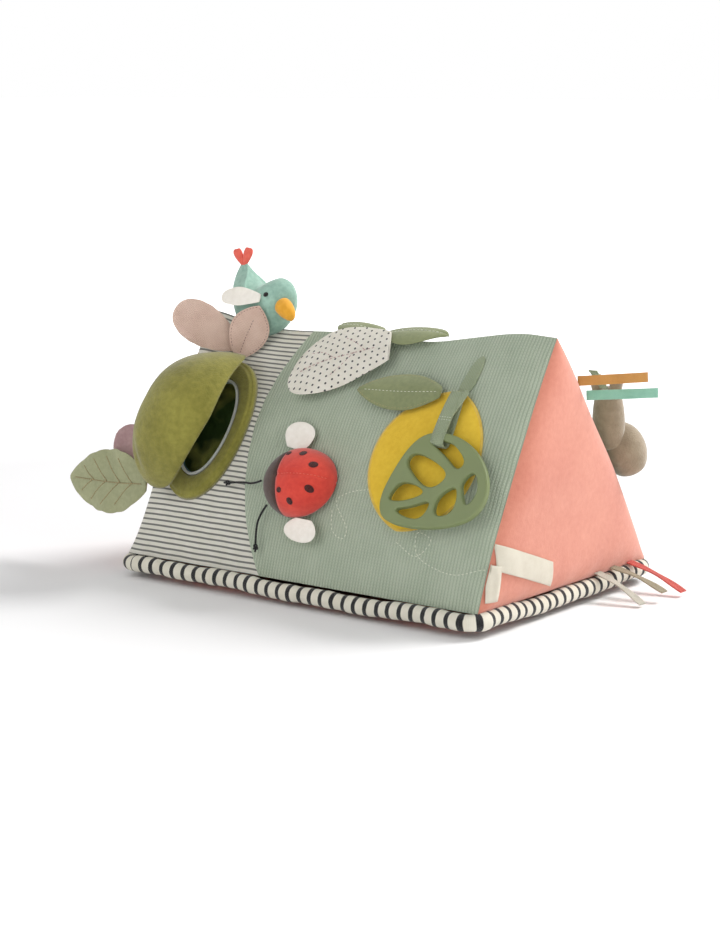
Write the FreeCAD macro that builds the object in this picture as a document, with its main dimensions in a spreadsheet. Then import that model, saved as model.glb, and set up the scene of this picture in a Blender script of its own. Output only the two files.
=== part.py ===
"""Soft activity wedge for a baby: a stuffed three-sided bolster with things to lift, pull and chew.

Frame: +Z up, X along the ridge, -Y towards the play face, origin at the centre of the underside.
All lengths are millimetres, all angles degrees.
"""
import FreeCAD, Part
import os
from math import atan2, cos, degrees, hypot, pi, sin, sqrt, tan

import Sketcher

V = FreeCAD.Vector
Placement = FreeCAD.Placement
Rotation = FreeCAD.Rotation
AXIS_X = V(1, 0, 0)
AXIS_Y = V(0, 1, 0)
AXIS_Z = V(0, 0, 1)

# Driving dimensions, one cell each.
SIZES = {
    "wedge_length": 313,        # outside the two end panels
    "slope_depth": 105,         # each slope passes through this distance from the middle
    "slope_height": 28.5,       # at this height
    "seam_height": 16.6,        # where the sloping panels start, just above the piping
    "ridge_shift": -15,         # the ridge leans towards the play face
    "ridge_height": 189,
    "panel_bulge": 10,          # how far the stuffed slopes stand proud of flat
    "cloth_thick": 1.6,
    "trim_thick": 1.2,
    "piping_radius": 6,
    "piping_cord_radius": 4.4,
    "piping_half_length": 157.5,
    "piping_half_depth": 113.5,
    "piping_height": 10.5,
    "piping_corner": 12,
    "base_half_length": 150,
    "base_half_depth": 106,
    "base_rim": 5,
    "seam_bow": 40,             # the bow of the seam between the stripes and the knit
    "back_split": -30,          # where the two back panels meet, up the back slope
    "pod_half_width": 36,
    "pod_half_height": 58,
    "pod_tilt": -12,
    "pod_thick": 5,
    "mirror_half_width": 23,
    "mirror_half_height": 40,
    "flap_rise": 33,
    "flap_open": 24,            # how far the flap stands open at rest
    "leaf_thick": 3,
    "leaf_tab": 8,
    "film_thick": 0.4,
    "film_room": 0.8,
    "felt_thick": 1.5,
    "ribbon_width": 7,
    "ribbon_thick": 0.8,
    "lady_half_length": 31,
    "lady_half_width": 26,
    "lady_rise": 24,
    "lady_neck": 17,            # from the middle to the seam between back and head
    "rattle_radius": 7,
    "rattle_length": 18,
    "bead_radius": 2,
    "antenna_radius": 0.8,
    "knot_radius": 2.2,
    "bird_half_length": 26,
    "bird_half_width": 15,
    "bird_half_height": 17,
    "squeaker_radius": 8,
    "squeaker_height": 7,
    "strap_width": 8.5,
    "teether_thick": 5,
}

doc = FreeCAD.newDocument("activity_wedge")
sheet = doc.addObject("Spreadsheet::Sheet", "dims")
for row, (alias, value) in enumerate(SIZES.items(), start=1):
    sheet.set(f"A{row}", alias)
    sheet.set(f"B{row}", str(value))
    sheet.setAlias(f"B{row}", alias)
doc.recompute()


def size(expression):
    """The value of a cell, or of an expression of cells, or of a plain number."""
    return float(sheet.evalExpression(expression)) if isinstance(expression, str) else float(expression)


# ---------------------------------------------------------------- frames of the two slopes

def slope_frame(foot_y, outward_turn):
    """The place of a slope's own frame: X along the seam, Y up the slope, Z outwards."""
    rise = size("dims.ridge_height - dims.slope_height")
    run = abs(size("dims.ridge_shift") - foot_y)
    middle = V(0, (foot_y + size("dims.ridge_shift")) / 2, size("(dims.ridge_height + dims.slope_height) / 2"))
    tilt = Rotation(AXIS_X, degrees(atan2(rise, run)))
    return Placement(middle, Rotation(AXIS_Z, outward_turn).multiply(tilt)), hypot(rise, run)


FRONT, FRONT_CHORD = slope_frame(-size("dims.slope_depth"), 0)
BACK, BACK_CHORD = slope_frame(size("dims.slope_depth"), 180)
BULGE = size("dims.panel_bulge")
FRONT_RADIUS = FRONT_CHORD ** 2 / (8 * BULGE) + BULGE / 2
BACK_RADIUS = BACK_CHORD ** 2 / (8 * BULGE) + BULGE / 2


def slope_foot(place, radius):
    """Where a slope's arc, carried on down, meets the base seam, and its bow from there to the ridge."""
    centre = place.multVec(V(0, 0, BULGE - radius))
    foot = sqrt(radius ** 2 - (size("dims.seam_height") - centre.z) ** 2) - abs(centre.y)
    rise = size("dims.ridge_height - dims.seam_height")
    run = foot + size("dims.ridge_shift") * (1 if centre.y > 0 else -1)
    return foot, radius - sqrt(radius ** 2 - (rise ** 2 + run ** 2) / 4)


FRONT_FOOT, FRONT_BOW = slope_foot(FRONT, FRONT_RADIUS)
BACK_FOOT, BACK_BOW = slope_foot(BACK, BACK_RADIUS)


def front(u, v, w):
    """A point of the play face: u along it, v up it, both from its middle, and w outwards."""
    return FRONT.multVec(V(u, v, w))


def aimed(root, tip, face):
    """The place of a piece whose X runs from root to tip, with its Z turned towards face."""
    ahead = (tip - root).normalize()
    across = face.cross(ahead).normalize()
    return Placement(root, Rotation(ahead, across, ahead.cross(across), "XYZ"))


# ---------------------------------------------------------------- building blocks

def new_body(name, place=None):
    made = doc.addObject("PartDesign::Body", name)
    made.Label = name
    made.Placement = place or Placement()
    return made


def outline(body, role, corners, moved=None):
    """A closed outline on an origin plane. Each corner is (x, y) or (x, y, bow): bow is how far the
    edge that leaves the corner swells to its right, which is outwards when the corners run
    anticlockwise. Numbers may be expressions of the sheet's cells."""
    sketch = body.newObject("Sketcher::SketchObject", f"{body.Label}_outline")
    plane = [item for item in body.Origin.OriginFeatures if item.Role == role][0]
    sketch.AttachmentSupport = [(plane, "")]
    sketch.MapMode = "FlatFace"
    if moved:
        sketch.AttachmentOffset = moved
    doc.recompute([sketch])
    add_loop(sketch, corners)
    return sketch


def bind(sketch, constraint, expression):
    index = sketch.addConstraint(constraint)
    if isinstance(expression, str):
        sketch.setExpression(f"Constraints[{index}]", expression)


def add_loop(sketch, corners):
    first = sketch.GeometryCount
    count = len(corners)
    spots = [V(size(corner[0]), size(corner[1]), 0) for corner in corners]
    for index, corner in enumerate(corners):
        start = spots[index]
        end = spots[(index + 1) % count]
        bow = size(corner[2]) if len(corner) > 2 else 0
        if bow:
            right = V(end.y - start.y, start.x - end.x, 0).normalize()
            sketch.addGeometry(Part.Arc(start, (start + end) * 0.5 + right * bow, end), False)
        else:
            sketch.addGeometry(Part.LineSegment(start, end), False)
    for index, corner in enumerate(corners):
        edge = first + index
        starts = 1 if sketch.getPoint(edge, 1).distanceToPoint(spots[index]) < 1e-4 else 2
        before = first + (index - 1) % count
        ends = 2 if sketch.getPoint(before, 2).distanceToPoint(spots[index]) < 1e-4 else 1
        sketch.addConstraint(Sketcher.Constraint("Coincident", before, ends, edge, starts))
        bind(sketch, Sketcher.Constraint("DistanceX", -1, 1, edge, starts, spots[index].x), corner[0])
        bind(sketch, Sketcher.Constraint("DistanceY", -1, 1, edge, starts, spots[index].y), corner[1])
        if len(corner) > 2 and size(corner[2]):
            following = corners[(index + 1) % count]
            chord = f"((({following[0]}) - ({corner[0]}))^2 + (({following[1]}) - ({corner[1]}))^2)"
            radius = f"{chord} / (8 * abs({corner[2]})) + abs({corner[2]}) / 2"
            bind(sketch, Sketcher.Constraint("Radius", edge, size(radius)), radius)


def swept(body, kind, sketch, length):
    """A Pad or Pocket that reaches equally far on both sides of its sketch."""
    feature = body.newObject(f"PartDesign::{kind}", f"{body.Label}_{kind.lower()}")
    feature.Profile = sketch
    feature.SideType = "Symmetric"
    feature.setExpression("Length", str(length))
    doc.recompute()
    return feature


def raised(body, sketch, length):
    feature = body.newObject("PartDesign::Pad", f"{body.Label}_pad")
    feature.Profile = sketch
    feature.setExpression("Length", str(length))
    doc.recompute()
    return feature


def oval(half_x, half_y):
    """An ellipse drawn as four arcs."""
    x = f"{half_x} * {cos(pi / 4):.5f}"
    y = f"{half_y} * {sin(pi / 4):.5f}"
    bow = 1 - cos(pi / 4)
    return [
        (x, f"-({y})", f"{half_x} * {bow:.5f}"),
        (x, y, f"{half_y} * {bow:.5f}"),
        (f"-({x})", y, f"{half_x} * {bow:.5f}"),
        (f"-({x})", f"-({y})", f"{half_y} * {bow:.5f}"),
    ]


def patch(name, corners, low, high, hole=None, moved=None):
    """A layer sewn on the play face: it follows the face's curve between two heights above it."""
    body = new_body(name, FRONT)
    sketch = outline(body, "XY_Plane", corners, moved)
    if hole:
        add_loop(sketch, hole)
    far = 60                    # past the layer on every side
    swept(body, "Pad", sketch, far)
    half = 100                  # half the curved length that is kept
    trims = []
    for height in (high, low):
        radius = f"({FRONT_RADIUS:.4f} + {height})"
        rise = f"({radius} - sqrt({radius}^2 - {half}^2))"
        trims.append((f"(dims.panel_bulge + {height} - {rise})", rise))
    (top, top_rise), (bottom, bottom_rise) = trims
    trim = outline(body, "YZ_Plane", [(-half, top, f"-{top_rise}"), (half, top), (half, far), (-half, far)])
    add_loop(trim, [(-half, -far), (half, -far), (half, bottom, bottom_rise), (-half, bottom)])
    swept(body, "Pocket", trim, "1.3 * dims.wedge_length")
    return body


def leaf_corners(length, width, tab):
    bow = f"(({width}) - ({tab}) / 2) / 2"
    return [("0", f"-({tab}) / 2", bow), (length, "0", bow), ("0", f"({tab}) / 2")]


def lobe_corners(length, width, tab):
    """A petal: narrow where it is sewn on and round at its end."""
    side = f"0.6 * ({length})"
    return [
        ("0", f"-({tab}) / 2", f"0.08 * ({width})"),
        (side, f"-({width}) / 2", f"0.4 * ({length})"),
        (side, f"({width}) / 2", f"0.08 * ({width})"),
        ("0", f"({tab}) / 2"),
    ]


def leaf(name, root, tip, face, width, corners=leaf_corners, thick="dims.leaf_thick", tab="dims.leaf_tab"):
    """A flat cloth piece that is sewn in by its root and free everywhere else."""
    body = new_body(name, aimed(root, tip, face))
    length = f"{(tip - root).Length:.3f}"
    swept(body, "Pad", outline(body, "XY_Plane", corners(length, width, tab)), thick)
    return body


def crinkle_film(name, cover, root, tip, face, width):
    """A pocket inside a leaf, open at its root, and the crackling film that lies in it."""
    length = f"{(tip - root).Length * 0.86:.3f}"
    narrow = f"({width}) * 0.8"
    pocket = outline(cover, "XY_Plane", leaf_corners(length, narrow, "dims.leaf_tab - 2"))
    swept(cover, "Pocket", pocket, "dims.film_room")
    leaf(name, root, tip - (tip - root) * 0.16, face, f"({width}) * 0.77", thick="dims.film_thick",
         tab="dims.leaf_tab - 2.6")


def primitive(kind, name, place, **sizes):
    made = doc.addObject(f"Part::{kind}", name)
    made.Placement = place
    for field, expression in sizes.items():
        made.setExpression(field, str(expression))
    return made


def dome(name, place, half_x, half_y, rise):
    """Half of an ellipsoid that stands on its flat side."""
    return primitive("Ellipsoid", name, place, Radius1=rise, Radius2=half_x, Radius3=half_y, Angle1="0",
                     Angle2="90")


def boolean(kind, name, base, tool):
    made = doc.addObject(f"Part::{kind}", name)
    made.Base = base
    made.Tool = tool
    made.Label = name
    return made


def shifted(place, x=0, y=0, z=0):
    return place.multiply(Placement(V(x, y, z), Rotation()))


# ---------------------------------------------------------------- the stuffed wedge

THICK = "dims.cloth_thick"
HALF_X = "dims.wedge_length / 2"
FOOT_WALL = 1.4                 # how thick the cloth is where it is cut off level at the base seam
APEX = ("dims.ridge_shift", "dims.ridge_height")
APEX_IN = ("dims.ridge_shift", "dims.ridge_height - 2.2")
SEAM_Z = "dims.seam_height"
BETWEEN_ENDS = "dims.wedge_length - 2 * dims.cloth_thick"


def front_slice():
    return [
        (-FRONT_FOOT, SEAM_Z),
        (FOOT_WALL - FRONT_FOOT, SEAM_Z, -FRONT_BOW),
        APEX_IN,
        (*APEX, FRONT_BOW),
    ]


def back_slice():
    return [
        (BACK_FOOT, SEAM_Z, BACK_BOW),
        APEX,
        (*APEX_IN, -BACK_BOW),
        (BACK_FOOT - FOOT_WALL, SEAM_Z),
    ]


def seam_line(side):
    """The part of the play face on one side of the curved seam: -1 left of it, 1 right of it."""
    far = 200
    tall = 120
    foot_u = -22
    top_u = -44
    line = [(top_u, tall, "dims.seam_bow"), (foot_u, -tall)]
    if side > 0:
        return line + [(far, -tall), (far, tall)]
    return [(-far, tall), (-far, -tall), (foot_u, -tall, "-dims.seam_bow"), (top_u, tall)]


def panel(name, corners, kept_off):
    body = new_body(name)
    swept(body, "Pad", outline(body, "YZ_Plane", corners), BETWEEN_ENDS)
    frame, region = kept_off
    swept(body, "Pocket", outline(body, "XY_Plane", region, frame), 90)
    return body


def wedge():
    core = new_body("core_stuffing")
    inside = [(FOOT_WALL - FRONT_FOOT, SEAM_Z), (BACK_FOOT - FOOT_WALL, SEAM_Z, BACK_BOW),
              (*APEX_IN, FRONT_BOW)]
    swept(core, "Pad", outline(core, "YZ_Plane", inside), BETWEEN_ENDS)

    panel("stripe_panel", front_slice(), (FRONT, seam_line(1)))
    panel("knit_panel", front_slice(), (FRONT, seam_line(-1)))
    split = "dims.back_split"
    below = [(-200, -130), (200, -130), (200, split), (-200, split)]
    above = [(-200, split), (200, split), (200, 130), (-200, 130)]
    panel("back_panel_upper", back_slice(), (BACK, below))
    panel("back_panel_lower", back_slice(), (BACK, above))

    whole = [(-FRONT_FOOT, SEAM_Z), (BACK_FOOT, SEAM_Z, BACK_BOW), (*APEX, FRONT_BOW)]
    for name, side in (("right_end_panel", 1), ("left_end_panel", -1)):
        body = new_body(name)
        middle = size(f"{HALF_X} - {THICK} / 2") * side
        swept(body, "Pad", outline(body, "YZ_Plane", whole, Placement(V(0, 0, middle), Rotation())), THICK)


def base():
    """The flat base: a shallow cloth tray, a foam slab in it, and corded piping round the seam."""
    tray = new_body("base_panel")
    half_x = "dims.base_half_length"
    half_y = "dims.base_half_depth"
    plate = raised(tray, outline(tray, "XY_Plane", rectangle(half_x, half_y)), "dims.base_rim")
    under = [f"Edge{index + 1}" for index, edge in enumerate(plate.Shape.Edges) if edge.BoundBox.ZMax < 0.01]
    chamfer = tray.newObject("PartDesign::Chamfer", "base_panel_chamfer")
    chamfer.Base = (plate, under)
    chamfer.setExpression("Size", "dims.base_rim - 1")
    doc.recompute()
    slab_x = f"({half_x} - dims.base_rim)"
    slab_y = f"({half_y} - dims.base_rim)"
    lift = Placement(V(0, 0, size("dims.base_rim + dims.cloth_thick")), Rotation())
    swept(tray, "Pocket", outline(tray, "XY_Plane", rectangle(slab_x, slab_y), lift), "2 * dims.base_rim")

    slab = new_body("base_foam", Placement(V(0, 0, size(THICK)), Rotation()))
    raised(slab, outline(slab, "XY_Plane", rectangle(slab_x, slab_y)), f"{SEAM_Z} - {THICK}")

    for name, outer, inner in (("piping_cover", "dims.piping_radius", "dims.piping_cord_radius + 0.1"),
                               ("piping_cord", "dims.piping_cord_radius", None)):
        body = new_body(name)
        height = Placement(V(0, 0, size("dims.piping_height")), Rotation())
        route = outline(body, "XY_Plane", rounded("dims.piping_half_length", "dims.piping_half_depth",
                                                  "dims.piping_corner"), height)
        section = outline(body, "YZ_Plane", [])
        add_ring(section, outer)
        if inner:
            add_ring(section, inner)
        pipe = body.newObject("PartDesign::AdditivePipe", f"{name}_sweep")
        pipe.Profile = section
        pipe.Spine = (route, [])
        doc.recompute()


def rectangle(half_x, half_y):
    return [(f"-({half_x})", f"-({half_y})"), (half_x, f"-({half_y})"), (half_x, half_y),
            (f"-({half_x})", half_y)]


def rounded(half_x, half_y, corner):
    """A rounded rectangle that starts in the middle of its front edge."""
    bow = f"{corner} * {1 - cos(pi / 4):.6f}"
    x = f"({half_x} - {corner})"
    y = f"({half_y} - {corner})"
    return [
        ("0", f"-{half_y}"),
        (x, f"-{half_y}", bow), (half_x, f"-{y}"),
        (half_x, y, bow), (x, half_y),
        (f"-{x}", half_y, bow), (f"-{half_x}", y),
        (f"-{half_x}", f"-{y}", bow), (f"-{x}", f"-{half_y}"),
    ]


def add_ring(sketch, radius):
    """A circle round the middle of the piping's front run."""
    middle = V(-size("dims.piping_half_depth"), size("dims.piping_height"), 0)
    index = sketch.addGeometry(Part.Circle(middle, AXIS_Z, size(radius)), False)
    bind(sketch, Sketcher.Constraint("DistanceX", -1, 1, index, 3, middle.x), "-dims.piping_half_depth")
    bind(sketch, Sketcher.Constraint("DistanceY", -1, 1, index, 3, middle.y), "dims.piping_height")
    bind(sketch, Sketcher.Constraint("Radius", index, size(radius)), radius)


# ---------------------------------------------------------------- the peekaboo pod

POD = Placement(V(-114, -1, 0), Rotation(AXIS_Z, size("dims.pod_tilt")))


def pod():
    """An oval velour frame round a safety mirror, and a stuffed flap hinged on its left side."""
    outer = oval("dims.pod_half_width", "dims.pod_half_height")
    opening = oval("dims.mirror_half_width", "dims.mirror_half_height")
    glass = oval("(dims.mirror_half_width - 1)", "(dims.mirror_half_height - 1)")
    sight = oval("(dims.mirror_half_width - 2.5)", "(dims.mirror_half_height - 2.5)")
    patch("pod_frame", outer, 0, "dims.pod_thick", hole=opening, moved=POD)
    patch("mirror_plate", glass, 0, 2.4, moved=POD)
    patch("mirror_rim", opening, 2.4, "dims.pod_thick + 0.4", hole=sight, moved=POD)

    # The hinge lies just above the frame's left edge, along the oval.
    hinge = FRONT.multiply(POD).multiply(Placement(V(-size("dims.pod_half_width"), 0, 16.4), Rotation()))
    swung = hinge.multiply(Placement(V(0, 0, 0), Rotation(AXIS_Y, -size("dims.flap_open"))))
    middle = shifted(swung, x=size("dims.pod_half_width"))
    lining = new_body("flap_lining", middle)
    raised(lining, outline(lining, "XY_Plane", outer), "dims.trim_thick")
    seat = shifted(middle, z=size("dims.trim_thick"))
    outside = dome("flap_outside", seat, "dims.pod_half_width", "dims.pod_half_height", "dims.flap_rise")
    hollow = dome("flap_hollow", seat, "dims.pod_half_width - 1.6", "dims.pod_half_height - 1.6",
                  "dims.flap_rise - 1.6")
    boolean("Cut", "flap_cover", outside, hollow)
    stuffing = dome("flap_wadding", seat, "dims.pod_half_width - 1.8", "dims.pod_half_height - 1.8",
                    "dims.flap_rise - 1.8")
    stuffing.Label = "flap_wadding"
    return hinge


# ---------------------------------------------------------------- leaves, lemon and teether

TOWARDS_PLAYER = V(0.601, -0.780, 0.173)
OUTWARDS = FRONT.Rotation.multVec(AXIS_Z)
TILTED_OUT = FRONT.Rotation.multVec(V(0, 0.15, 0.99))

# Each leaf: where its root is sewn in, where its tip is, which way it faces, its width, film inside.
LEAVES = {
    "pink_leaf_wide": (front(-116, 65, 9.5), front(-157, 79, 43), TOWARDS_PLAYER, 34, False),
    "pink_leaf_narrow": (front(-106, 63.5, 9), front(-96, 93, 25), TOWARDS_PLAYER, 20, False),
    "side_leaf": (V(-161, -88, 66), V(-249, -82, 62), V(0.25, -0.95, 0.2), 50, True),
    "mauve_leaf": (V(-161, -76, 73), V(-203, -70, 105), V(0.25, -0.95, 0.2), 32, False),
    "spotted_leaf": (front(24, 82, 6.4), front(-58, 46, 12), TILTED_OUT, 44, True),
    "ridge_leaf_right": (V(9, -13, 193), V(56, -7, 197), V(0, 0.1, 1), 30, False),
    "ridge_leaf_left": (V(3, -13, 193), V(-40, -7, 198), V(0, 0.1, 1), 28, False),
    "lemon_leaf": (front(84, 44, 11.6), front(12, 39, 12), TILTED_OUT, 30, False),
}


def leaves():
    for name, (root, tip, face, width, crinkles) in LEAVES.items():
        cover = leaf(name, root, tip, face, width)
        if crinkles:
            crinkle_film(f"{name}_film", cover, root, tip, face, width)


TEETHER_HOLES = [
    [(-8, -9), (-3, -10.5), (9, -16), (23, -23), (26, -19, 1.5), (14, -7.5), (-1, -5.2), (-8, -5)],
    [(-17, -24), (-4, -32), (9, -38), (16, -29), (0, -19), (-14, -18)],
    [(-22, -52), (-4, -48), (1, -43), (-12, -40), (-20, -43)],
    [(-15, -59), (-4, -62), (9, -59), (9, -51), (-8, -55)],
    [(17, -55), (28, -55), (31, -48), (27, -38), (17, -44)],
    [(31, -33), (36, -42), (41, -46), (45, -40), (38, -26)],
]
TEETHER_EDGE = [(-34, -56, 3), (-12, -69, 5), (37, -60, 5), (51, -32, 5), (22, 0, 5), (-12, -2, 6)]


def lemon():
    """A lemon sewn on the knit, its stem tape, and a silicone leaf to chew that hangs from a strap."""
    patch("lemon_applique", [(97, 47, 47), (78, -58, 43)], 0, "dims.trim_thick")
    tape = [(89.5, 53), (98.5, 49.5), (107, 71), (98.5, 74)]
    patch("stem_tape", tape, 0, "dims.trim_thick")

    strap_middle = 94.25
    strap = new_body("teether_strap", shifted(FRONT, x=strap_middle))
    loop = outline(strap, "YZ_Plane", [(3.6, 11.4), (48, 11.4), (48, 14), (26, 19.4), (3.6, 19.4)])
    add_loop(loop, [(4.8, 12.4), (41, 12.4), (26, 18.4), (4.8, 18.4)])
    swept(strap, "Pad", loop, "dims.strap_width")

    teether = new_body("teether_leaf", shifted(FRONT, 96, 12, 15.4))
    face = outline(teether, "XY_Plane", TEETHER_EDGE)
    for hole in TEETHER_HOLES:
        add_loop(face, hole)
    swept(teether, "Pad", face, "dims.teether_thick")


# ---------------------------------------------------------------- the ladybird

LADY = FRONT.multiply(Placement(V(-12, -35, 10.7), Rotation(AXIS_Z, 188)))


def ladybird():
    """A stuffed ladybird with a rattle in it, felt wings and knotted cord antennae."""
    half_x = "dims.lady_half_length"
    half_y = "dims.lady_half_width"
    rise = "dims.lady_rise"
    foot = new_body("ladybird_base", LADY)
    raised(foot, outline(foot, "XY_Plane", oval(f"({half_x} - 1)", f"({half_y} - 1)")), "dims.trim_thick")
    seat = shifted(LADY, z=size("dims.trim_thick"))
    neck = size("dims.lady_neck")
    wall = size(THICK)

    def half_space(name, x):
        return primitive("Box", name, shifted(seat, x, -50, -1), Length=60, Width=100, Height=60)

    back = boolean("Cut", "ladybird_back_blank", dome("lady_outer", seat, half_x, half_y, rise),
                   half_space("lady_front_room", neck))
    inner = dome("lady_inner", seat, f"{half_x} - {wall}", f"{half_y} - {wall}", f"{rise} - {wall}")
    boolean("Cut", "ladybird_shell", back, inner)
    boolean("Common", "ladybird_head", dome("lady_outer_head", seat, f"{half_x} - 0.01", half_y, rise),
            half_space("lady_head_room", neck))

    fill = dome("lady_fill", seat, f"{half_x} - {wall} - 0.2", f"{half_y} - {wall} - 0.2",
                f"{rise} - {wall} - 0.2")
    fill_back = boolean("Cut", "lady_fill_back", fill, half_space("lady_fill_room", neck - 0.2))
    capsule_place = seat.multiply(Placement(V(-14, 0, 11), Rotation(AXIS_Y, 90)))
    bore = primitive("Cylinder", "lady_bore", shifted(capsule_place, z=-0.2),
                     Radius="dims.rattle_radius + 0.2", Height="dims.rattle_length + 0.4")
    boolean("Cut", "ladybird_stuffing", fill_back, bore)
    can = primitive("Cylinder", "rattle_outside", capsule_place, Radius="dims.rattle_radius",
                    Height="dims.rattle_length")
    room = primitive("Cylinder", "rattle_room", shifted(capsule_place, z=1.2),
                     Radius="dims.rattle_radius - 1.2", Height="dims.rattle_length - 2.4")
    boolean("Cut", "rattle_capsule", can, room)
    beads = [primitive("Sphere", f"bead_{index}", shifted(capsule_place, 3.6, 0, 4 + 5 * index),
                       Radius="dims.bead_radius") for index in range(3)]
    group = doc.addObject("Part::Compound", "rattle_beads")
    group.Links = beads
    group.Label = "rattle_beads"

    leaf("ladybird_wing_upper", front(-27, -10.8, 12.2), front(-29, 9, 12.2), OUTWARDS, 27, lobe_corners,
         "dims.felt_thick")
    leaf("ladybird_wing_lower", front(1, -60.8, 11.2), front(0, -77.5, 8.4), OUTWARDS, 29, lobe_corners,
         "dims.felt_thick")


def cord_path(points):
    """Straight runs joined by tangent arcs, each as large as its two runs allow."""
    edges = []
    radii = []
    at = points[0]
    for before, corner, after in zip(points, points[1:], points[2:]):
        arriving = (corner - before).normalize()
        leaving = (after - corner).normalize()
        turn = arriving.getAngle(leaving)
        setback = 0.45 * min((corner - before).Length, (after - corner).Length)
        radius = setback / tan(turn / 2)
        start = corner - arriving * setback
        end = corner + leaving * setback
        inward = (leaving - arriving).normalize()
        middle = corner + inward * (radius / cos(turn / 2) - radius)
        edges.append(Part.LineSegment(at, start).toShape())
        edges.append(Part.Arc(start, middle, end).toShape())
        radii.append(round(radius, 1))
        at = end
    edges.append(Part.LineSegment(at, points[-1]).toShape())
    return Part.Wire(edges), radii


KNOT_GAP = 0.1                  # between a cord's end and the knot tied on it
ANTENNAE = {
    "upper": [front(-45, -38.5, 16), front(-53, -41.5, 14), front(-64, -40.5, 13), front(-76, -42.5, 12.6)],
    "lower": [front(-34.5, -55.5, 14), front(-40, -61.5, 11), front(-42, -72, 8.8), front(-38.5, -84, 7.2)],
}


def antennae():
    for side, points in ANTENNAE.items():
        wire, radii = cord_path(points)
        radius = size("dims.antenna_radius")
        section = Part.Wire(Part.makeCircle(radius, points[0], points[1] - points[0]))
        tube = doc.addObject("Part::Feature", f"antenna_{side}")
        tube.Shape = wire.makePipeShell([section], True, True)
        tube.Label = f"antenna_{side}"
        print(f"antenna {side}: length {wire.Length:.1f}, arc radii {radii}, volume ratio "
              f"{tube.Shape.Volume / (pi * radius ** 2 * wire.Length):.3f}")
        along = (points[-1] - points[-2]).normalize()
        middle = points[-1] + along * (size("dims.knot_radius") + KNOT_GAP)
        knot = primitive("Sphere", f"antenna_knot_{side}", Placement(middle, Rotation()),
                         Radius="dims.knot_radius")
        knot.Label = f"antenna_knot_{side}"


# ---------------------------------------------------------------- the bird on the ridge

BIRD_MIDDLE = V(-110, -15, 207)


def bird():
    """A stuffed bird sewn to the ridge, with a squeaker in its belly."""
    middle = Placement(BIRD_MIDDLE, Rotation())
    belly = primitive("Ellipsoid", "bird_belly", middle, Radius1="dims.bird_half_height",
                      Radius2="dims.bird_half_length", Radius3="dims.bird_half_width")
    tail_root = BIRD_MIDDLE + V(-13, 0, 2)
    tail_tip = BIRD_MIDDLE + V(-22, 0, 25)
    turn = Rotation(AXIS_Z, tail_tip - tail_root)
    tail = primitive("Cone", "bird_tail", Placement(tail_root, turn), Radius1=11, Radius2=4.5,
                     Height=f"{(tail_tip - tail_root).Length:.3f}")
    whole = boolean("Fuse", "bird_blank", belly, tail)
    pocket_place = Placement(BIRD_MIDDLE + V(2, 0, -6), Rotation())
    pocket = primitive("Cylinder", "squeaker_room", shifted(pocket_place, z=-0.2),
                       Radius="dims.squeaker_radius + 0.2", Height="dims.squeaker_height + 0.4")
    boolean("Cut", "bird_body", whole, pocket)
    squeaker = primitive("Cylinder", "bird_squeaker", pocket_place, Radius="dims.squeaker_radius",
                         Height="dims.squeaker_height")
    squeaker.Label = "bird_squeaker"
    beak_root = BIRD_MIDDLE + V(20, 0, -7)
    beak_tip = BIRD_MIDDLE + V(34, 0, -11)
    cone = primitive("Cone", "beak_cone", Placement(beak_root, Rotation(AXIS_Z, beak_tip - beak_root)),
                     Radius1=6.5, Radius2=2, Height=f"{(beak_tip - beak_root).Length:.3f}")
    hull = primitive("Ellipsoid", "beak_room", middle, Radius1="dims.bird_half_height",
                     Radius2="dims.bird_half_length", Radius3="dims.bird_half_width")
    boolean("Cut", "bird_beak", cone, hull)

    tuft_root = tail_tip + V(0, 0, 0.7)
    lobes = [leaf(f"tuft_{side}", tuft_root + V(step, 0, 1.4), tuft_root + V(step * 3.6, 0, 12), -AXIS_Y, 7,
                  lobe_corners, "dims.leaf_thick", "2.5") for side, step in (("left", -2.4), ("right", 2.8))]
    tuft = doc.addObject("Part::Compound", "bird_tuft")
    tuft.Links = lobes
    tuft.Label = "bird_tuft"

    leaf("bird_wing_near", BIRD_MIDDLE + V(4, -20.1, 0), BIRD_MIDDLE + V(-28, -21, -1),
         V(0, -0.35, 0.94), 13, lobe_corners, "dims.felt_thick + 0.5", "5")
    leaf("bird_wing_far", BIRD_MIDDLE + V(4, 20.1, 0), BIRD_MIDDLE + V(-28, 21, -1),
         V(0, 0.35, 0.94), 13, lobe_corners, "dims.felt_thick + 0.5", "5")


# ---------------------------------------------------------------- ribbons, labels and the hanging animal

# Each ribbon or label: root, tip, the way its flat side faces, and its width.
RIBBONS = {
    "ribbon_ochre": (V(158.6, 15, 161), V(192, 48, 163), V(0.7, -0.7, 0), "dims.ribbon_width"),
    "ribbon_mint": (V(158.6, 27, 149.5), V(193, 61, 150.5), V(0.7, -0.7, 0), "dims.ribbon_width"),
    "ribbon_coral": (V(158.6, 84, 19.6), V(206, 82, 3.2), V(0.3, 0, 0.95), "dims.ribbon_width"),
    "ribbon_taupe": (V(158.6, 60, 19.6), V(204, 58, 7.5), V(0.3, 0, 0.95), "dims.ribbon_width"),
    "ribbon_cream": (V(158.6, 40, 19.6), V(199, 36, 1.6), V(0.3, 0, 0.95), "dims.ribbon_width"),
    "woven_label": (V(158.4, -91, 53), V(158.4, -26, 31), V(1, 0, 0), 18),
    "care_label": (V(160, -100, 48), V(162, -104, 23), V(0.7, -0.7, 0), 12),
}


def strip_corners(length, width, _tab):
    return [("0", f"-({width}) / 2"), (length, f"-({width}) / 2"), (length, f"({width}) / 2"),
            ("0", f"({width}) / 2")]


def ribbons():
    for name, (root, tip, face, width) in RIBBONS.items():
        leaf(name, root, tip, face, width, strip_corners, "dims.ribbon_thick")


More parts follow.
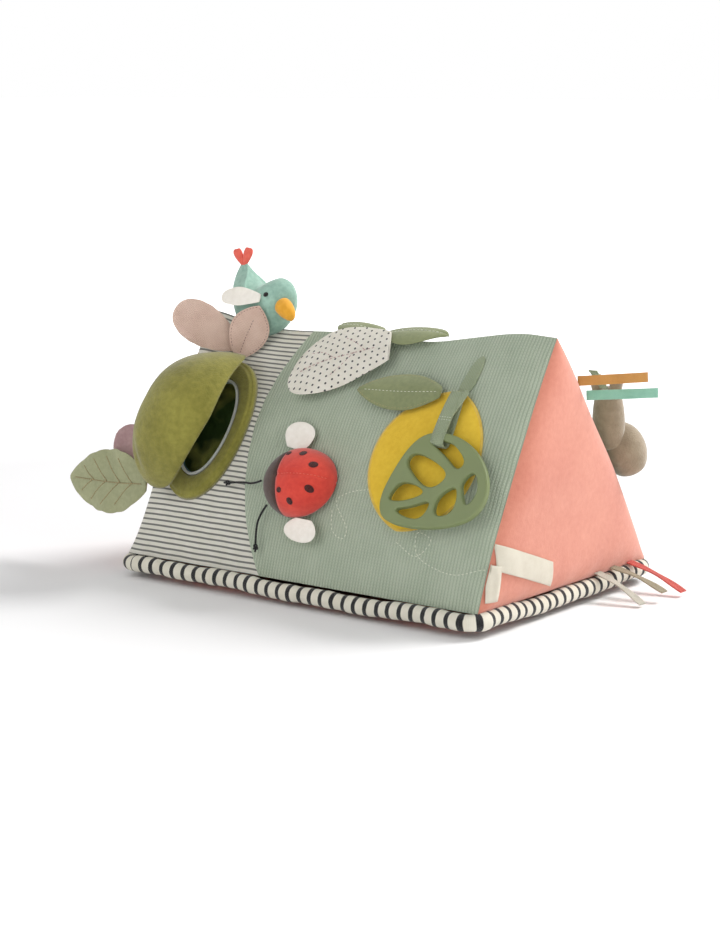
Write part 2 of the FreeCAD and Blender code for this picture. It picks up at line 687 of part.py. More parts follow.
def hanging_animal():
    """A small stuffed animal that hangs head down by a tape loop from the back seam."""
    parts = {
        "animal_body": (V(149, 68, 128), 12, 11, 21),
        "animal_head": (V(152, 82, 100), 16, 14.5, 13),
    }
    for name, (middle, half_x, half_y, half_z) in parts.items():
        made = primitive("Ellipsoid", f"{name}_blank", Placement(middle, Rotation()), Radius1=half_z,
                         Radius2=half_x, Radius3=half_y)
        if name == "animal_head":
            tool = primitive("Ellipsoid", "animal_neck_room", Placement(parts["animal_body"][0], Rotation()),
                             Radius1=21, Radius2=12, Radius3=11)
            boolean("Cut", name, made, tool)
        else:
            made.Label = name
    feet = doc.addObject("Part::Compound", "animal_feet")
    feet.Links = [primitive("Ellipsoid", f"foot_{side}", Placement(V(149 + 8 * side, 64, 154), Rotation()),
                            Radius1=6, Radius2=5, Radius3=5) for side in (-1, 1)]
    feet.Label = "animal_feet"
    leaf("animal_loop", V(149, 46, 164), V(149, 59, 150.5), V(0, 0.6, 0.8), 7, strip_corners,
         "dims.trim_thick")


# ---------------------------------------------------------------- build, check, write

wedge()
base()
pod_hinge = pod()
leaves()
lemon()
ladybird()
antennae()
bird()
ribbons()
hanging_animal()
doc.recompute()

NODES = [
    "core_stuffing", "stripe_panel", "knit_panel", "back_panel_upper", "back_panel_lower",
    "right_end_panel", "left_end_panel", "base_panel", "base_foam", "piping_cover", "piping_cord",
    "pod_frame", "mirror_plate", "mirror_rim", "flap_cover", "flap_wadding",
    "flap_lining", "lemon_applique", "stem_tape", "teether_strap", "teether_leaf",
    "ladybird_base", "ladybird_shell", "ladybird_head", "ladybird_stuffing", "rattle_capsule",
    "rattle_beads", "ladybird_wing_upper", "ladybird_wing_lower", "antenna_upper", "antenna_lower",
    "antenna_knot_upper", "antenna_knot_lower", "bird_body", "bird_squeaker", "bird_beak", "bird_tuft",
    "bird_wing_near", "bird_wing_far", "animal_body", "animal_head", "animal_feet", "animal_loop",
    *RIBBONS, *LEAVES, "side_leaf_film", "spotted_leaf_film",
]

failed = [item.Name for item in doc.Objects if {"Invalid", "Error"} & set(item.State)]
if failed:
    raise RuntimeError(f"objects that did not build: {failed}")
by_label = {item.Label: item for item in doc.Objects}
for node in NODES:
    shape = by_label[node].Shape
    if shape.isNull() or not shape.isValid() or not shape.Solids:
        raise RuntimeError(f"{node} has no sound shape")

os.makedirs("parts", exist_ok=True)
for node in NODES:
    by_label[node].Shape.exportStep(f"parts/{node}.step")
print(f"{len(NODES)} nodes; front slope chord {FRONT_CHORD:.2f}, radius {FRONT_RADIUS:.2f}, "
      f"pod hinge at {tuple(round(value, 2) for value in pod_hinge.Base)}")
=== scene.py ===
"""Soft activity wedge for a baby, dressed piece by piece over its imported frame.

Each section lays its pieces out in millimetres, in the frame of the slope or leaf they are sewn to,
and the function that knows that frame puts them in their place in metres.
"""
import math

import bpy
import bmesh
import numpy as np
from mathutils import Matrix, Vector


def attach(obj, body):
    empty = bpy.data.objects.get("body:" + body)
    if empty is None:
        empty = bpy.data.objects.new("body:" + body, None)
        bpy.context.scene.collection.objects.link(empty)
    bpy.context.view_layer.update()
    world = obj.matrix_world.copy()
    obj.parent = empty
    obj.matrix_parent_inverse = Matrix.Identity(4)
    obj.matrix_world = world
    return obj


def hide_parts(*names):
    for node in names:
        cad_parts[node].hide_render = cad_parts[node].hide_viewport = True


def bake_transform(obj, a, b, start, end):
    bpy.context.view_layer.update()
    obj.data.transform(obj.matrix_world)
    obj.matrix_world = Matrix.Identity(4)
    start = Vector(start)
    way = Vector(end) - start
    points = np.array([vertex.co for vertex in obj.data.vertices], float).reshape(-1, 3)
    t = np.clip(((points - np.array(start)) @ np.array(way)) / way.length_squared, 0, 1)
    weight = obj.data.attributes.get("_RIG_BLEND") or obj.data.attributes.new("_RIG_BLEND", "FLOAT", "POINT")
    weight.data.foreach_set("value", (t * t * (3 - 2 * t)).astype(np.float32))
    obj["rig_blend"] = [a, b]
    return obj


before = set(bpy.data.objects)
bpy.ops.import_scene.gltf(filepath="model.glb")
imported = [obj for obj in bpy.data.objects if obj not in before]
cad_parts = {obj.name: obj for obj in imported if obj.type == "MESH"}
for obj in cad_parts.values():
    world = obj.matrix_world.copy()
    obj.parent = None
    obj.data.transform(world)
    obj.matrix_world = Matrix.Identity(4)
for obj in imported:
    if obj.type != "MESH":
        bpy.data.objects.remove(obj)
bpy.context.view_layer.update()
MM = 0.001


# ---------------------------------------------------------------- camera, floor and light
# A wide pale card under the toy, a room that is white at eye level, and large soft lamps.
# The camera looks slightly down at the corner between the play face and the right-hand end.

aim = Vector((-0.0262, 0.0, 0.0843))
camera_turn = math.radians(37.61)
camera_height = math.radians(9.96)
camera_distance = 1.628
towards_camera = Vector((math.sin(camera_turn) * math.cos(camera_height),
                         -math.cos(camera_turn) * math.cos(camera_height),
                         math.sin(camera_height)))
camera = bpy.data.objects.new("camera", bpy.data.cameras.new("camera"))
camera.data.lens = 84.0
camera.data.sensor_width = 36.0
camera.data.clip_start = 0.05
camera.location = aim + towards_camera * camera_distance
camera.rotation_euler = (-towards_camera).to_track_quat("-Z", "Y").to_euler()
bpy.context.scene.collection.objects.link(camera)
bpy.context.scene.camera = camera
bpy.context.scene.view_settings.view_transform = "Standard"


def lamp(name, place, across, power, colour):
    """A square soft box that faces the toy."""
    light = bpy.data.lights.new(name, "AREA")
    light.size = across
    light.energy = power
    light.color = colour
    holder = bpy.data.objects.new(name, light)
    holder.location = place
    holder.rotation_euler = (Vector((0, 0, 0.08)) - Vector(place)).to_track_quat("-Z", "Y").to_euler()
    bpy.context.scene.collection.objects.link(holder)


lamp("main_lamp", (0.75, 1.25, 1.5), 0.8, 38, (1.0, 0.99, 0.97))
lamp("front_lamp", (-0.7, -1.9, 1.3), 1.6, 13, (1.0, 0.99, 0.97))
lamp("side_lamp", (1.9, -0.5, 0.8), 1.4, 7, (1.0, 0.99, 0.97))


def add(tree, kind, inputs=None, **settings):
    """One node, with its settings, and each input given a value or a link."""
    made = tree.nodes.new(kind)
    for setting, value in settings.items():
        setattr(made, setting, value)
    for key, value in (inputs or {}).items():
        if isinstance(value, bpy.types.NodeSocket):
            tree.links.new(value, made.inputs[key])
        else:
            made.inputs[key].default_value = value
    return made


def sums(tree, operation, *values):
    """The result of a sum on numbers or sockets."""
    return add(tree, "ShaderNodeMath", dict(enumerate(values)), operation=operation).outputs[0]


def dyed(red, green, blue):
    """A colour given as it looks, 0 to 255, as the light it gives back."""
    shares = [value / 255 for value in (red, green, blue)]
    return tuple(s / 12.92 if s <= 0.04045 else ((s + 0.055) / 1.055) ** 2.4 for s in shares) + (1.0,)


room = bpy.data.worlds.new("room")
room.use_nodes = True
sky_height = add(room.node_tree, "ShaderNodeSeparateXYZ",
                 {0: add(room.node_tree, "ShaderNodeTexCoord").outputs["Generated"]}).outputs[2]
sky_light = add(room.node_tree, "ShaderNodeMapRange", {0: sky_height, 1: 0.06, 2: 0.2, 3: 1.0, 4: 0.46})
room.node_tree.links.new(sky_light.outputs[0], room.node_tree.nodes["Background"].inputs["Color"])
bpy.context.scene.world = room

card = bpy.data.materials.new("pale_card")
card.use_nodes = True
grain = add(card.node_tree, "ShaderNodeTexNoise", {"Scale": 400.0})
card_bump = add(card.node_tree, "ShaderNodeBump", {"Strength": 0.05, "Height": grain.outputs[0]})
card_shader = card.node_tree.nodes["Principled BSDF"]
card_shader.inputs["Base Color"].default_value = dyed(250, 250, 252)
card_shader.inputs["Roughness"].default_value = 0.9
card_shader.inputs["Emission Strength"].default_value = 1.0
card_place = add(card.node_tree, "ShaderNodeTexCoord").outputs["Object"]
far_off = add(card.node_tree, "ShaderNodeVectorMath", {0: card_place}, operation="LENGTH").outputs["Value"]
lit_card = add(card.node_tree, "ShaderNodeMapRange", {0: far_off, 1: 0.6, 2: 1.8, 3: 0.0, 4: 0.8})
card.node_tree.links.new(lit_card.outputs[0], card_shader.inputs["Emission Color"])
card.node_tree.links.new(card_bump.outputs[0], card_shader.inputs["Normal"])
floor_half = 40.0
floor_mesh = bpy.data.meshes.new("floor")
floor_mesh.from_pydata([(-floor_half, -floor_half, 0), (floor_half, -floor_half, 0),
                        (floor_half, floor_half, 0), (-floor_half, floor_half, 0)], [], [(0, 1, 2, 3)])
floor_mesh.materials.append(card)
floor = bpy.data.objects.new("floor", floor_mesh)
bpy.context.scene.collection.objects.link(floor)


# ---------------------------------------------------------------- knotted cord antennae
# Two waxed black cords come out of the ladybird's head and end in an overhand knot.
# They lie on the play face, so their routes are given in its frame.

def unit(vector):
    return np.asarray(vector, float) / np.linalg.norm(vector)


class Slope:
    """One sloping side of the wedge, its own axes along, up and out of it, and its stuffed shape."""

    def __init__(self, middle, along, up, half_height):
        self.middle = np.array(middle, float)
        self.along = unit(along)
        self.up = unit(up)
        self.out = np.cross(self.along, self.up)
        self.high = half_height
        self.radius = half_height ** 2 / (2 * BULGE) + BULGE / 2
        downwards = np.linspace(-1.4 * half_height, 0, 400)
        heights = self.flat(0, downwards, self.crown(downwards))[:, 2] / MM
        self.low = float(np.interp(SEAM_Z, heights, downwards))

    def flat(self, u, v, w):
        """The point u along, v up and w out of the slope's own plane, in metres."""
        u, v, w = (np.asarray(value, float)[..., None] for value in (u, v, w))
        return (self.middle + u * self.along + v * self.up + w * self.out) * MM

    def crown(self, v):
        return BULGE - self.radius + np.sqrt(self.radius ** 2 - np.asarray(v, float) ** 2)


BULGE = 10.0
SEAM_Z = 16.6
ridge_y, ridge_z = -15.0, 189.0
slope_y, slope_z = 105.0, 28.5


def slope_between(foot):
    """The slope that leans from this depth up to the ridge."""
    side = math.copysign(1, foot)
    run, rise = ridge_y - foot, ridge_z - slope_z
    middle = (0, (foot + ridge_y) / 2, (slope_z + ridge_z) / 2)
    return Slope(middle, (-side, 0, 0), (0, run, rise), math.hypot(run, rise) / 2)


front = slope_between(-slope_y)
back = slope_between(slope_y)


def shader_group(name, sockets_in, sockets_out):
    """An empty shader group with its sockets, and its two end nodes."""
    tree = bpy.data.node_groups.new(name, "ShaderNodeTree")
    for label, kind, value in sockets_in:
        socket = tree.interface.new_socket(label, in_out="INPUT", socket_type=kind)
        if value is not None:
            socket.default_value = value
    for label in sockets_out:
        tree.interface.new_socket(label, in_out="OUTPUT", socket_type="NodeSocketFloat")
    return tree, tree.nodes.new("NodeGroupInput").outputs, tree.nodes.new("NodeGroupOutput").inputs


def texture_group(name):
    """Every cloth texture takes a place and a size in metres and gives a shade and a height."""
    return shader_group(name, [("Place", "NodeSocketVector", None), ("Size", "NodeSocketFloat", 0.001)],
                        ["Shade", "Height"])


def mottling(tree, place, size, times, detail=3.0):
    """Soft noise whose patches are size times as large as given."""
    scale = sums(tree, "DIVIDE", 1.0, sums(tree, "MULTIPLY", size, times))
    return add(tree, "ShaderNodeTexNoise", {"Vector": place, "Scale": scale, "Detail": detail}).outputs[0]


weave, given, wanted = texture_group("thread_weave")
apart = add(weave, "ShaderNodeSeparateXYZ", {0: given["Place"]}).outputs
across_wave, along_wave = (
    sums(weave, "SINE", sums(weave, "DIVIDE", sums(weave, "MULTIPLY", apart[axis], math.pi), given["Size"]))
    for axis in (0, 1))
over = sums(weave, "GREATER_THAN", sums(weave, "MULTIPLY", across_wave, along_wave), 0.0)
weft = sums(weave, "MULTIPLY", over, sums(weave, "ABSOLUTE", across_wave))
warp = sums(weave, "MULTIPLY", sums(weave, "SUBTRACT", 1.0, over), sums(weave, "ABSOLUTE", along_wave))
thread_height = sums(weave, "ADD", weft, warp)
weave.links.new(thread_height, wanted["Height"])
slub = mottling(weave, given["Place"], given["Size"], 14.0)
weave.links.new(sums(weave, "ADD", sums(weave, "MULTIPLY", thread_height, 0.35),
                     sums(weave, "MULTIPLY", slub, 0.65)), wanted["Shade"])

nap, given, wanted = texture_group("brushed_nap")
patches = mottling(nap, given["Place"], given["Size"], 30.0)
tufts = mottling(nap, given["Place"], given["Size"], 3.0)
fibres = mottling(nap, given["Place"], given["Size"], 0.8, 2.0)
nap.links.new(sums(nap, "ADD", sums(nap, "MULTIPLY", patches, 0.55), sums(nap, "MULTIPLY", tufts, 0.45)),
              wanted["Shade"])
nap.links.new(sums(nap, "ADD", sums(nap, "MULTIPLY", fibres, 0.6), sums(nap, "MULTIPLY", tufts, 0.4)),
              wanted["Height"])


def cloth(name, light, dark, texture, size, depth, rough=0.9, fuzz=0.25, by_cut=True, printed=None):
    """A cloth material: two dyes mixed by the texture's shade, its threads or nap as bumps, and
    sometimes a print. by_cut lays the texture along the cut piece, otherwise it fills space."""
    material = bpy.data.materials.new(name)
    material["slot"] = name
    material.use_nodes = True
    tree = material.node_tree
    shader = tree.nodes["Principled BSDF"]
    place = (add(tree, "ShaderNodeUVMap", uv_map="cut").outputs[0] if by_cut
             else add(tree, "ShaderNodeTexCoord").outputs["Object"])
    surface = add(tree, "ShaderNodeGroup", node_tree=texture)
    tree.links.new(place, surface.inputs["Place"])
    surface.inputs["Size"].default_value = size
    contrast = add(tree, "ShaderNodeMapRange", {0: surface.outputs["Shade"], 1: 0.3, 2: 0.7})
    mixed = add(tree, "ShaderNodeMix", {0: contrast.outputs[0], 6: dark, 7: light},
                data_type="RGBA").outputs[2]
    if printed:
        mask, ink = printed(tree, place)
        mixed = add(tree, "ShaderNodeMix", {0: mask, 6: mixed, 7: ink}, data_type="RGBA").outputs[2]
    tree.links.new(mixed, shader.inputs["Base Color"])
    bump = add(tree, "ShaderNodeBump", {"Strength": 1.0, "Distance": depth,
                                        "Height": surface.outputs["Height"]})
    tree.links.new(bump.outputs[0], shader.inputs["Normal"])
    shader.inputs["Roughness"].default_value = rough
    shader.inputs["Sheen Weight"].default_value = fuzz
    shader.inputs["Sheen Roughness"].default_value = 0.5
    shader.inputs["Specular IOR Level"].default_value = 0.25
    return material


def show(mesh, name, material):
    """The mesh as a piece at the origin, smooth and in its material."""
    mesh.name = name
    mesh.materials.clear()
    mesh.materials.append(material)
    mesh.shade_smooth()
    piece = bpy.data.objects.new(name, mesh)
    bpy.context.scene.collection.objects.link(piece)
    return piece


def plain_mesh(piece):
    """The piece's shape as its modifiers leave it, as a new plain mesh."""
    bpy.context.view_layer.update()
    return bpy.data.meshes.new_from_object(piece.evaluated_get(bpy.context.evaluated_depsgraph_get()))


black_cord = cloth("black_cord", dyed(34, 33, 34), dyed(14, 14, 15), weave, 0.0006, 0.0002, by_cut=False)
ANTENNA_RADIUS = 0.8
antenna_routes = {
    "upper": front.flat([-45, -53, -64, -76], [-38.5, -41.5, -40.5, -42.5], [16, 14, 13, 12.6]),
    "lower": front.flat([-34.5, -40, -42, -38.5], [-55.5, -61.5, -72, -84], [14, 11, 8.8, 7.2]),
}


def cord_curve(name, route, radius, material, closed=False):
    """A smooth cord along the points of its route."""
    curve = bpy.data.curves.new(name, "CURVE")
    curve.dimensions = "3D"
    curve.bevel_depth = radius * MM
    curve.bevel_resolution = 3
    curve.use_fill_caps = not closed
    spline = curve.splines.new("NURBS")
    spline.points.add(len(route) - 1)
    for spot, place in zip(spline.points, route):
        spot.co = (*place, 1.0)
    spline.order_u = 3
    spline.use_endpoint_u = not closed
    spline.use_cyclic_u = closed
    spline.resolution_u = 8
    curve.materials.append(material)
    piece = bpy.data.objects.new(name, curve)
    bpy.context.scene.collection.objects.link(piece)
    return piece


for side, route in antenna_routes.items():
    antenna = cord_curve(f"antenna_{side}_cord", route, ANTENNA_RADIUS, black_cord)
    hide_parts(f"antenna_{side}")
    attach(antenna, "ladybird")

    # An overhand knot pulled tight, and the short end that is left beyond it.
    along = unit(route[-1] - route[-2])
    beside = unit(np.cross(along, front.out))
    turns = np.linspace(0, 2 * math.pi, 19)[:-1]
    loop = 0.62 * MM * np.stack([np.sin(turns) + 2 * np.sin(2 * turns), np.cos(turns) - 2 * np.cos(2 * turns),
                                 -1.2 * np.sin(3 * turns)], 1)
    middle = route[-1] + along * 1.9 * MM
    tied = middle + loop[:, :1] * beside + loop[:, 1:2] * along + loop[:, 2:] * front.out
    turned = cord_curve("turned_knot", tied, ANTENNA_RADIUS * 0.95, black_cord, closed=True)
    tail_route = [middle, middle + along * 2.2 * MM, middle + (along * 3.6 + beside * 0.5) * MM]
    tail = cord_curve("knot_tail", tail_route, ANTENNA_RADIUS * 0.9, black_cord)
    both = bmesh.new()
    for part in (turned, tail):
        both.from_mesh(plain_mesh(part))
        bpy.data.objects.remove(part)
    knot_mesh = bpy.data.meshes.new("knot")
    both.to_mesh(knot_mesh)
    both.free()
    knot = show(knot_mesh, f"antenna_knot_{side}_tied", black_cord)
    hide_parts(f"antenna_knot_{side}")
    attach(knot, "ladybird")


# ---------------------------------------------------------------- the two panels of the play face
# A finely striped cotton on the left and a sage rib knit on the right, joined along a curved seam.
# Stuffing crowns them between the seams, and the ridge sags in the middle and stands up at its ends.

HALF_LENGTH = 156.5
SAG_AT = np.array([-157, -135, -113, -76, -33, 0, 51, 80, 122, 145, 157])
SAG = np.array([5, 1, -5, -6, -4, -5, -6, -1, 6, 6, 4])


def ridge_lift(x):
    """How far the ridge stands above its straight line, softened over a few centimetres."""
    spread = np.linspace(-14, 14, 9)
    return np.interp(np.asarray(x, float)[..., None] + spread, SAG_AT, SAG).mean(-1)


SEAM_MIDDLE = (127.8, 14.7)
SEAM_RADIUS = 201.5


def seam_u(v):
    """Where the curved seam crosses the play face at each height."""
    return SEAM_MIDDLE[0] - np.sqrt(SEAM_RADIUS ** 2 - (np.asarray(v, float) - SEAM_MIDDLE[1]) ** 2)


def off_seam(u, v):
    """The distance from the curved seam, measured across it."""
    return np.hypot(np.asarray(u) - SEAM_MIDDLE[0], np.asarray(v) - SEAM_MIDDLE[1]) - SEAM_RADIUS


def ramp(value, low, high):
    share = np.clip((np.asarray(value, float) - low) / (high - low), 0, 1)
    return share * share * (3 - 2 * share)


def dressed(slope, u, v, lift=0.0, seamed=True):
    """The point on a stuffed slope, u along it and v up it, lift above the cloth."""
    u, v, lift = np.broadcast_arrays(*(np.asarray(value, float) for value in (u, v, lift)))
    crown = slope.crown(v)
    climb = (v - slope.low) / (slope.high - slope.low)
    share = np.clip(4 * climb * (1 - climb), 0, 1)
    inset = HALF_LENGTH - np.abs(u)
    crown = crown - 5.5 * share * np.exp(-inset / 9)
    lumps = np.sin(u / 19 + 1.3) * np.sin(v / 23 + 0.4) + 0.6 * np.sin(u / 11 - v / 17 + 2.1)
    crown = crown + 0.55 * share * lumps
    at_foot = np.exp(-(v - slope.low) / 9)
    at_end = np.exp(-inset / 10)
    crown = crown + 0.7 * at_foot * np.sin(u / 4.6 + 1.5 * np.sin(u / 23)) * ramp(v - slope.low, 0, 3)
    crown = crown + 0.6 * at_end * np.sin(v / 4.9 + 1.2 * np.sin(v / 19)) * ramp(inset, 0, 3)
    if seamed and slope is front:
        gap = off_seam(u, v)
        crown = crown - 1.1 * np.exp(-(gap / 1.6) ** 2) * share
        crown = crown + 0.25 * np.exp(-np.abs(gap) / 7) * np.sin(v / 3.7) * share
    point = slope.flat(u, v, crown + lift)
    point[..., 2] += ridge_lift(point[..., 0] / MM) * ramp(v / slope.high, 0.1, 1.0) * MM
    point[..., 0] -= 7 * np.exp(-(v - slope.low) / 18) * ramp(-point[..., 0] / MM, 90, 157) * MM
    return point


def cloth_mesh(name, points, cut, material, ring=False, poles=(False, False), out=None):
    """A piece from rows of points in metres. cut is where each point lies on the cut cloth, in metres.
    ring joins the last column to the first, and a pole draws an end row into one point. A closed
    piece turns its own faces outwards; an open one is turned towards out."""
    rows, columns = points.shape[:2]
    index = np.arange(rows * columns).reshape(rows, columns)
    for row, drawn in zip((0, -1), poles):
        if drawn:
            index[row] = index[row, 0]
    if ring:
        index = np.hstack([index, index[:, :1]])
    marks = np.arange(cut.shape[0] * cut.shape[1]).reshape(cut.shape[:2])
    cuts = cut.reshape(-1, 2)
    corners, spots = (np.stack([grid[:-1, :-1], grid[:-1, 1:], grid[1:, 1:], grid[1:, :-1]], -1)
                      .reshape(-1, 4).tolist() for grid in (index, marks))
    faces = []
    flat = []
    for corner, spot in zip(corners, spots):
        kept = [k for k in range(4) if corner[k] != corner[k - 1]]
        if len(kept) > 2:
            faces.append([corner[k] for k in kept])
            flat.extend(spot[k] for k in kept)
    used, renumbered = np.unique(np.concatenate(faces), return_inverse=True)
    sizes = np.cumsum([0] + [len(face) for face in faces])
    faces = [renumbered[start:end].tolist() for start, end in zip(sizes, sizes[1:])]
    mesh = bpy.data.meshes.new(name)
    mesh.from_pydata(points.reshape(-1, 3)[used].tolist(), [], faces)
    layer = mesh.uv_layers.new(name="cut")
    layer.data.foreach_set("uv", cuts[flat].astype(np.float32).ravel())
    made = bmesh.new()
    made.from_mesh(mesh)
    bmesh.ops.recalc_face_normals(made, faces=made.faces)
    if out is not None:
        facing = sum((face.normal * face.calc_area() for face in made.faces), Vector())
        if facing.dot(Vector(out)) < 0:
            bmesh.ops.reverse_faces(made, faces=made.faces)
    made.to_mesh(mesh)
    made.free()
    return show(mesh, name, material)


STRIPE_PITCH = 0.0040


def stripes(tree, place):
    """Thin charcoal lines straight across the cloth."""
    height = add(tree, "ShaderNodeSeparateXYZ", {0: place}).outputs[1]
    wander = add(tree, "ShaderNodeTexNoise", {"Vector": place, "Scale": 60.0}).outputs[0]
    shifted = sums(tree, "ADD", height, sums(tree, "MULTIPLY", wander, 0.0007))
    phase = sums(tree, "PINGPONG", sums(tree, "DIVIDE", shifted, STRIPE_PITCH), 0.5)
    mask = add(tree, "ShaderNodeMapRange", {0: phase, 1: 0.15, 2: 0.2, 3: 0.85, 4: 0.0})
    return mask.outputs[0], dyed(88, 91, 88)


rib, given, wanted = texture_group("rib_knit")
apart = add(rib, "ShaderNodeSeparateXYZ", {0: given["Place"]}).outputs
column = sums(rib, "FRACT", sums(rib, "DIVIDE", apart[0], given["Size"]))
lean = sums(rib, "MULTIPLY", sums(rib, "ABSOLUTE", sums(rib, "SUBTRACT", column, 0.5)), 2.0)
course = sums(rib, "DIVIDE", apart[1], sums(rib, "MULTIPLY", given["Size"], 0.8))
step = sums(rib, "PINGPONG", sums(rib, "ADD", course, sums(rib, "MULTIPLY", lean, 0.9)), 0.5)
loop_height = sums(rib, "MULTIPLY", step, 2.0)
column_height = sums(rib, "SUBTRACT", 1.0, sums(rib, "POWER", lean, 3.0))
rib_height = sums(rib, "MULTIPLY", column_height,
                  sums(rib, "ADD", 0.45, sums(rib, "MULTIPLY", loop_height, 0.55)))
rib.links.new(rib_height, wanted["Height"])
rib.links.new(sums(rib, "ADD", sums(rib, "MULTIPLY", rib_height, 0.6),
                   sums(rib, "MULTIPLY", mottling(rib, given["Place"], given["Size"], 9.0), 0.4)),
              wanted["Shade"])

stripe_cloth = cloth("stripe_cloth", dyed(238, 236, 226), dyed(222, 219, 206), weave, 0.0007, 0.0002,
                     fuzz=0.1, printed=stripes)
sage_knit = cloth("sage_knit", dyed(198, 209, 188), dyed(164, 180, 156), rib, 0.0026, 0.0011, fuzz=0.15)
FINE = 2.0


def play_panel(name, left, right, material, swallowed):
    """One panel of the play face between two edges given as functions of the height."""
    v = np.linspace(front.low, front.high, int((front.high - front.low) / FINE) + 1)[:, None]
    share = np.linspace(0, 1, int(np.max(right(v) - left(v)) / FINE) + 1)[None, :]
    u = left(v) + (right(v) - left(v)) * share
    v = v + 0 * u
    piece = cloth_mesh(name, dressed(front, u, v), np.stack([u, v], -1) * MM, material, out=front.out)
    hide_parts(*swallowed)
    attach(piece, "cushion")


play_panel("stripe_panel_sewn", lambda v: -HALF_LENGTH + 0 * v, seam_u, stripe_cloth, ["stripe_panel"])
play_panel("knit_panel_sewn", seam_u, lambda v: HALF_LENGTH + 0 * v, sage_knit,
           ["knit_panel", "core_stuffing"])


# ---------------------------------------------------------------- the back of the wedge
# The back slope is two plain cottons, a cream-green one at the ridge and an aqua one below it.
# It mirrors the crowning of the play face.

BACK_SPLIT = -30.0
cream_cloth = cloth("cream_cloth", dyed(222, 222, 204), dyed(205, 208, 188), weave, 0.0008, 0.0003)
aqua_cloth = cloth("aqua_cloth", dyed(168, 202, 198), dyed(150, 187, 182), weave, 0.0008, 0.0003)
for name, low, high, material in (("back_panel_upper", BACK_SPLIT, back.high, cream_cloth),
                                  ("back_panel_lower", back.low, BACK_SPLIT, aqua_cloth)):
    v = np.linspace(low, high, int((high - low) / 3) + 1)[:, None]
    u = np.linspace(-HALF_LENGTH, HALF_LENGTH, 120)[None, :]
    u, v = u + 0 * v, v + 0 * u
    dip = -1.0 * np.exp(-((v - BACK_SPLIT) / 1.8) ** 2)
    piece = cloth_mesh(f"{name}_sewn", dressed(back, u, v, dip), np.stack([u, v], -1) * MM, material,
                       out=back.out)
    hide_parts(name)
    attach(piece, "cushion")


# ---------------------------------------------------------------- the two ends
# Three-cornered panels of coral velour, sewn to both slopes and to the base and filled out softly.

coral_velour = cloth("coral_velour", dyed(217, 144, 122), dyed(204, 126, 106), nap, 0.0012, 0.0003,
                     fuzz=0.45, by_cut=False)
END_SWELL = 8.0


def end_point(side, share_back, share_up, lift=0.0):
    """A point on an end: share_back from the play face to the back, share_up from base to ridge."""
    share_back, share_up = np.broadcast_arrays(share_back, share_up)
    near = dressed(front, side * HALF_LENGTH, front.low + (front.high - front.low) * share_up)
    far = dressed(back, -side * HALF_LENGTH, back.low + (back.high - back.low) * share_up)
    width = np.linalg.norm(far - near, axis=-1) / MM
    height = share_up * (ridge_z - SEAM_Z)
    gaps = [0.87 * share_back * width + 0.01, 0.8 * (1 - share_back) * width + 0.01, height + 0.01]
    room_in = 1 / sum(1 / gap for gap in gaps)
    swell = END_SWELL * (1 - np.exp(-room_in / 7))
    creases = 0.5 * np.exp(-gaps[2] / 8) * np.sin(share_back * width / 4.8) * ramp(gaps[2], 0, 3)
    creases = creases + 0.6 * np.sin(near[..., 1] / MM / 21 + height / 17) * ramp(room_in, 0, 12)
    point = near + (far - near) * share_back[..., None]
    point[..., 0] += side * (swell + creases + lift) * MM
    return point


for name, side in (("right_end_panel", 1), ("left_end_panel", -1)):
    share_back = np.linspace(0, 1, 90)[None, :]
    share_up = np.linspace(0, 1, 80)[:, None]
    points = end_point(side, share_back, share_up)
    piece = cloth_mesh(f"{name}_sewn", points, points[..., 1:], coral_velour, poles=(False, True),
                       out=(side, 0, 0))
    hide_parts(name)
    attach(piece, "cushion")


# ---------------------------------------------------------------- base and striped piping
# A coral cotton base over a foam slab bellies a little below the seam. A thick filled piping runs
# round that seam, cut on the cross from ivory cloth with narrow black bars.

base_cloth = cloth("base_cloth", dyed(226, 132, 112), dyed(208, 112, 94), weave, 0.0008, 0.0003)
BASE_HALF = (153.0, 109.5)
BASE_RIM = 9.0
share_x = np.linspace(-1, 1, 111)[None, :]
share_y = np.linspace(-1, 1, 91)[:, None]
squareness = 9
edge = (np.abs(share_x) ** squareness + np.abs(share_y) ** squareness) ** (1 / squareness)
shrink = 1 / np.maximum(edge / np.maximum(np.abs(share_x), np.abs(share_y)).clip(1e-6), 1)
base_x = BASE_HALF[0] * share_x * shrink
base_y = BASE_HALF[1] * share_y * shrink
out_share = np.maximum(np.abs(share_x), np.abs(share_y)) + 0 * base_x
base_z = BASE_RIM * ramp(out_share, 0.86, 1.0) + 0.4 + 0.35 * np.sin(base_x / 13) * np.sin(base_y / 11)
base = cloth_mesh("base_cover", np.stack([base_x, base_y, base_z], -1) * MM,
                  np.stack([base_x, base_y], -1) * MM, base_cloth, out=(0, 0, -1))
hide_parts("base_panel", "base_foam")
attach(base, "cushion")

PIPING_RADIUS = 6.0
PIPING_HALF = (157.5, 113.5)
PIPING_Z = 10.5
PIPING_CORNER = 12.0
BAR_PITCH = 0.0098


def bars(tree, place):
    """Black bars round the piping, a little uneven."""
    run_along = add(tree, "ShaderNodeSeparateXYZ", {0: place}).outputs[0]
    wander = add(tree, "ShaderNodeTexNoise", {"Vector": place, "Scale": 110.0}).outputs[0]
    shifted = sums(tree, "ADD", run_along, sums(tree, "MULTIPLY", wander, 0.0016))
    phase = sums(tree, "PINGPONG", sums(tree, "DIVIDE", shifted, BAR_PITCH), 0.5)
    mask = add(tree, "ShaderNodeMapRange", {0: phase, 1: 0.16, 2: 0.19, 3: 1.0, 4: 0.0})
    return mask.outputs[0], dyed(28, 28, 30)


piping_cloth = cloth("piping_cloth", dyed(250, 246, 230), dyed(236, 230, 210), weave, 0.0008, 0.0003,
                     printed=bars)


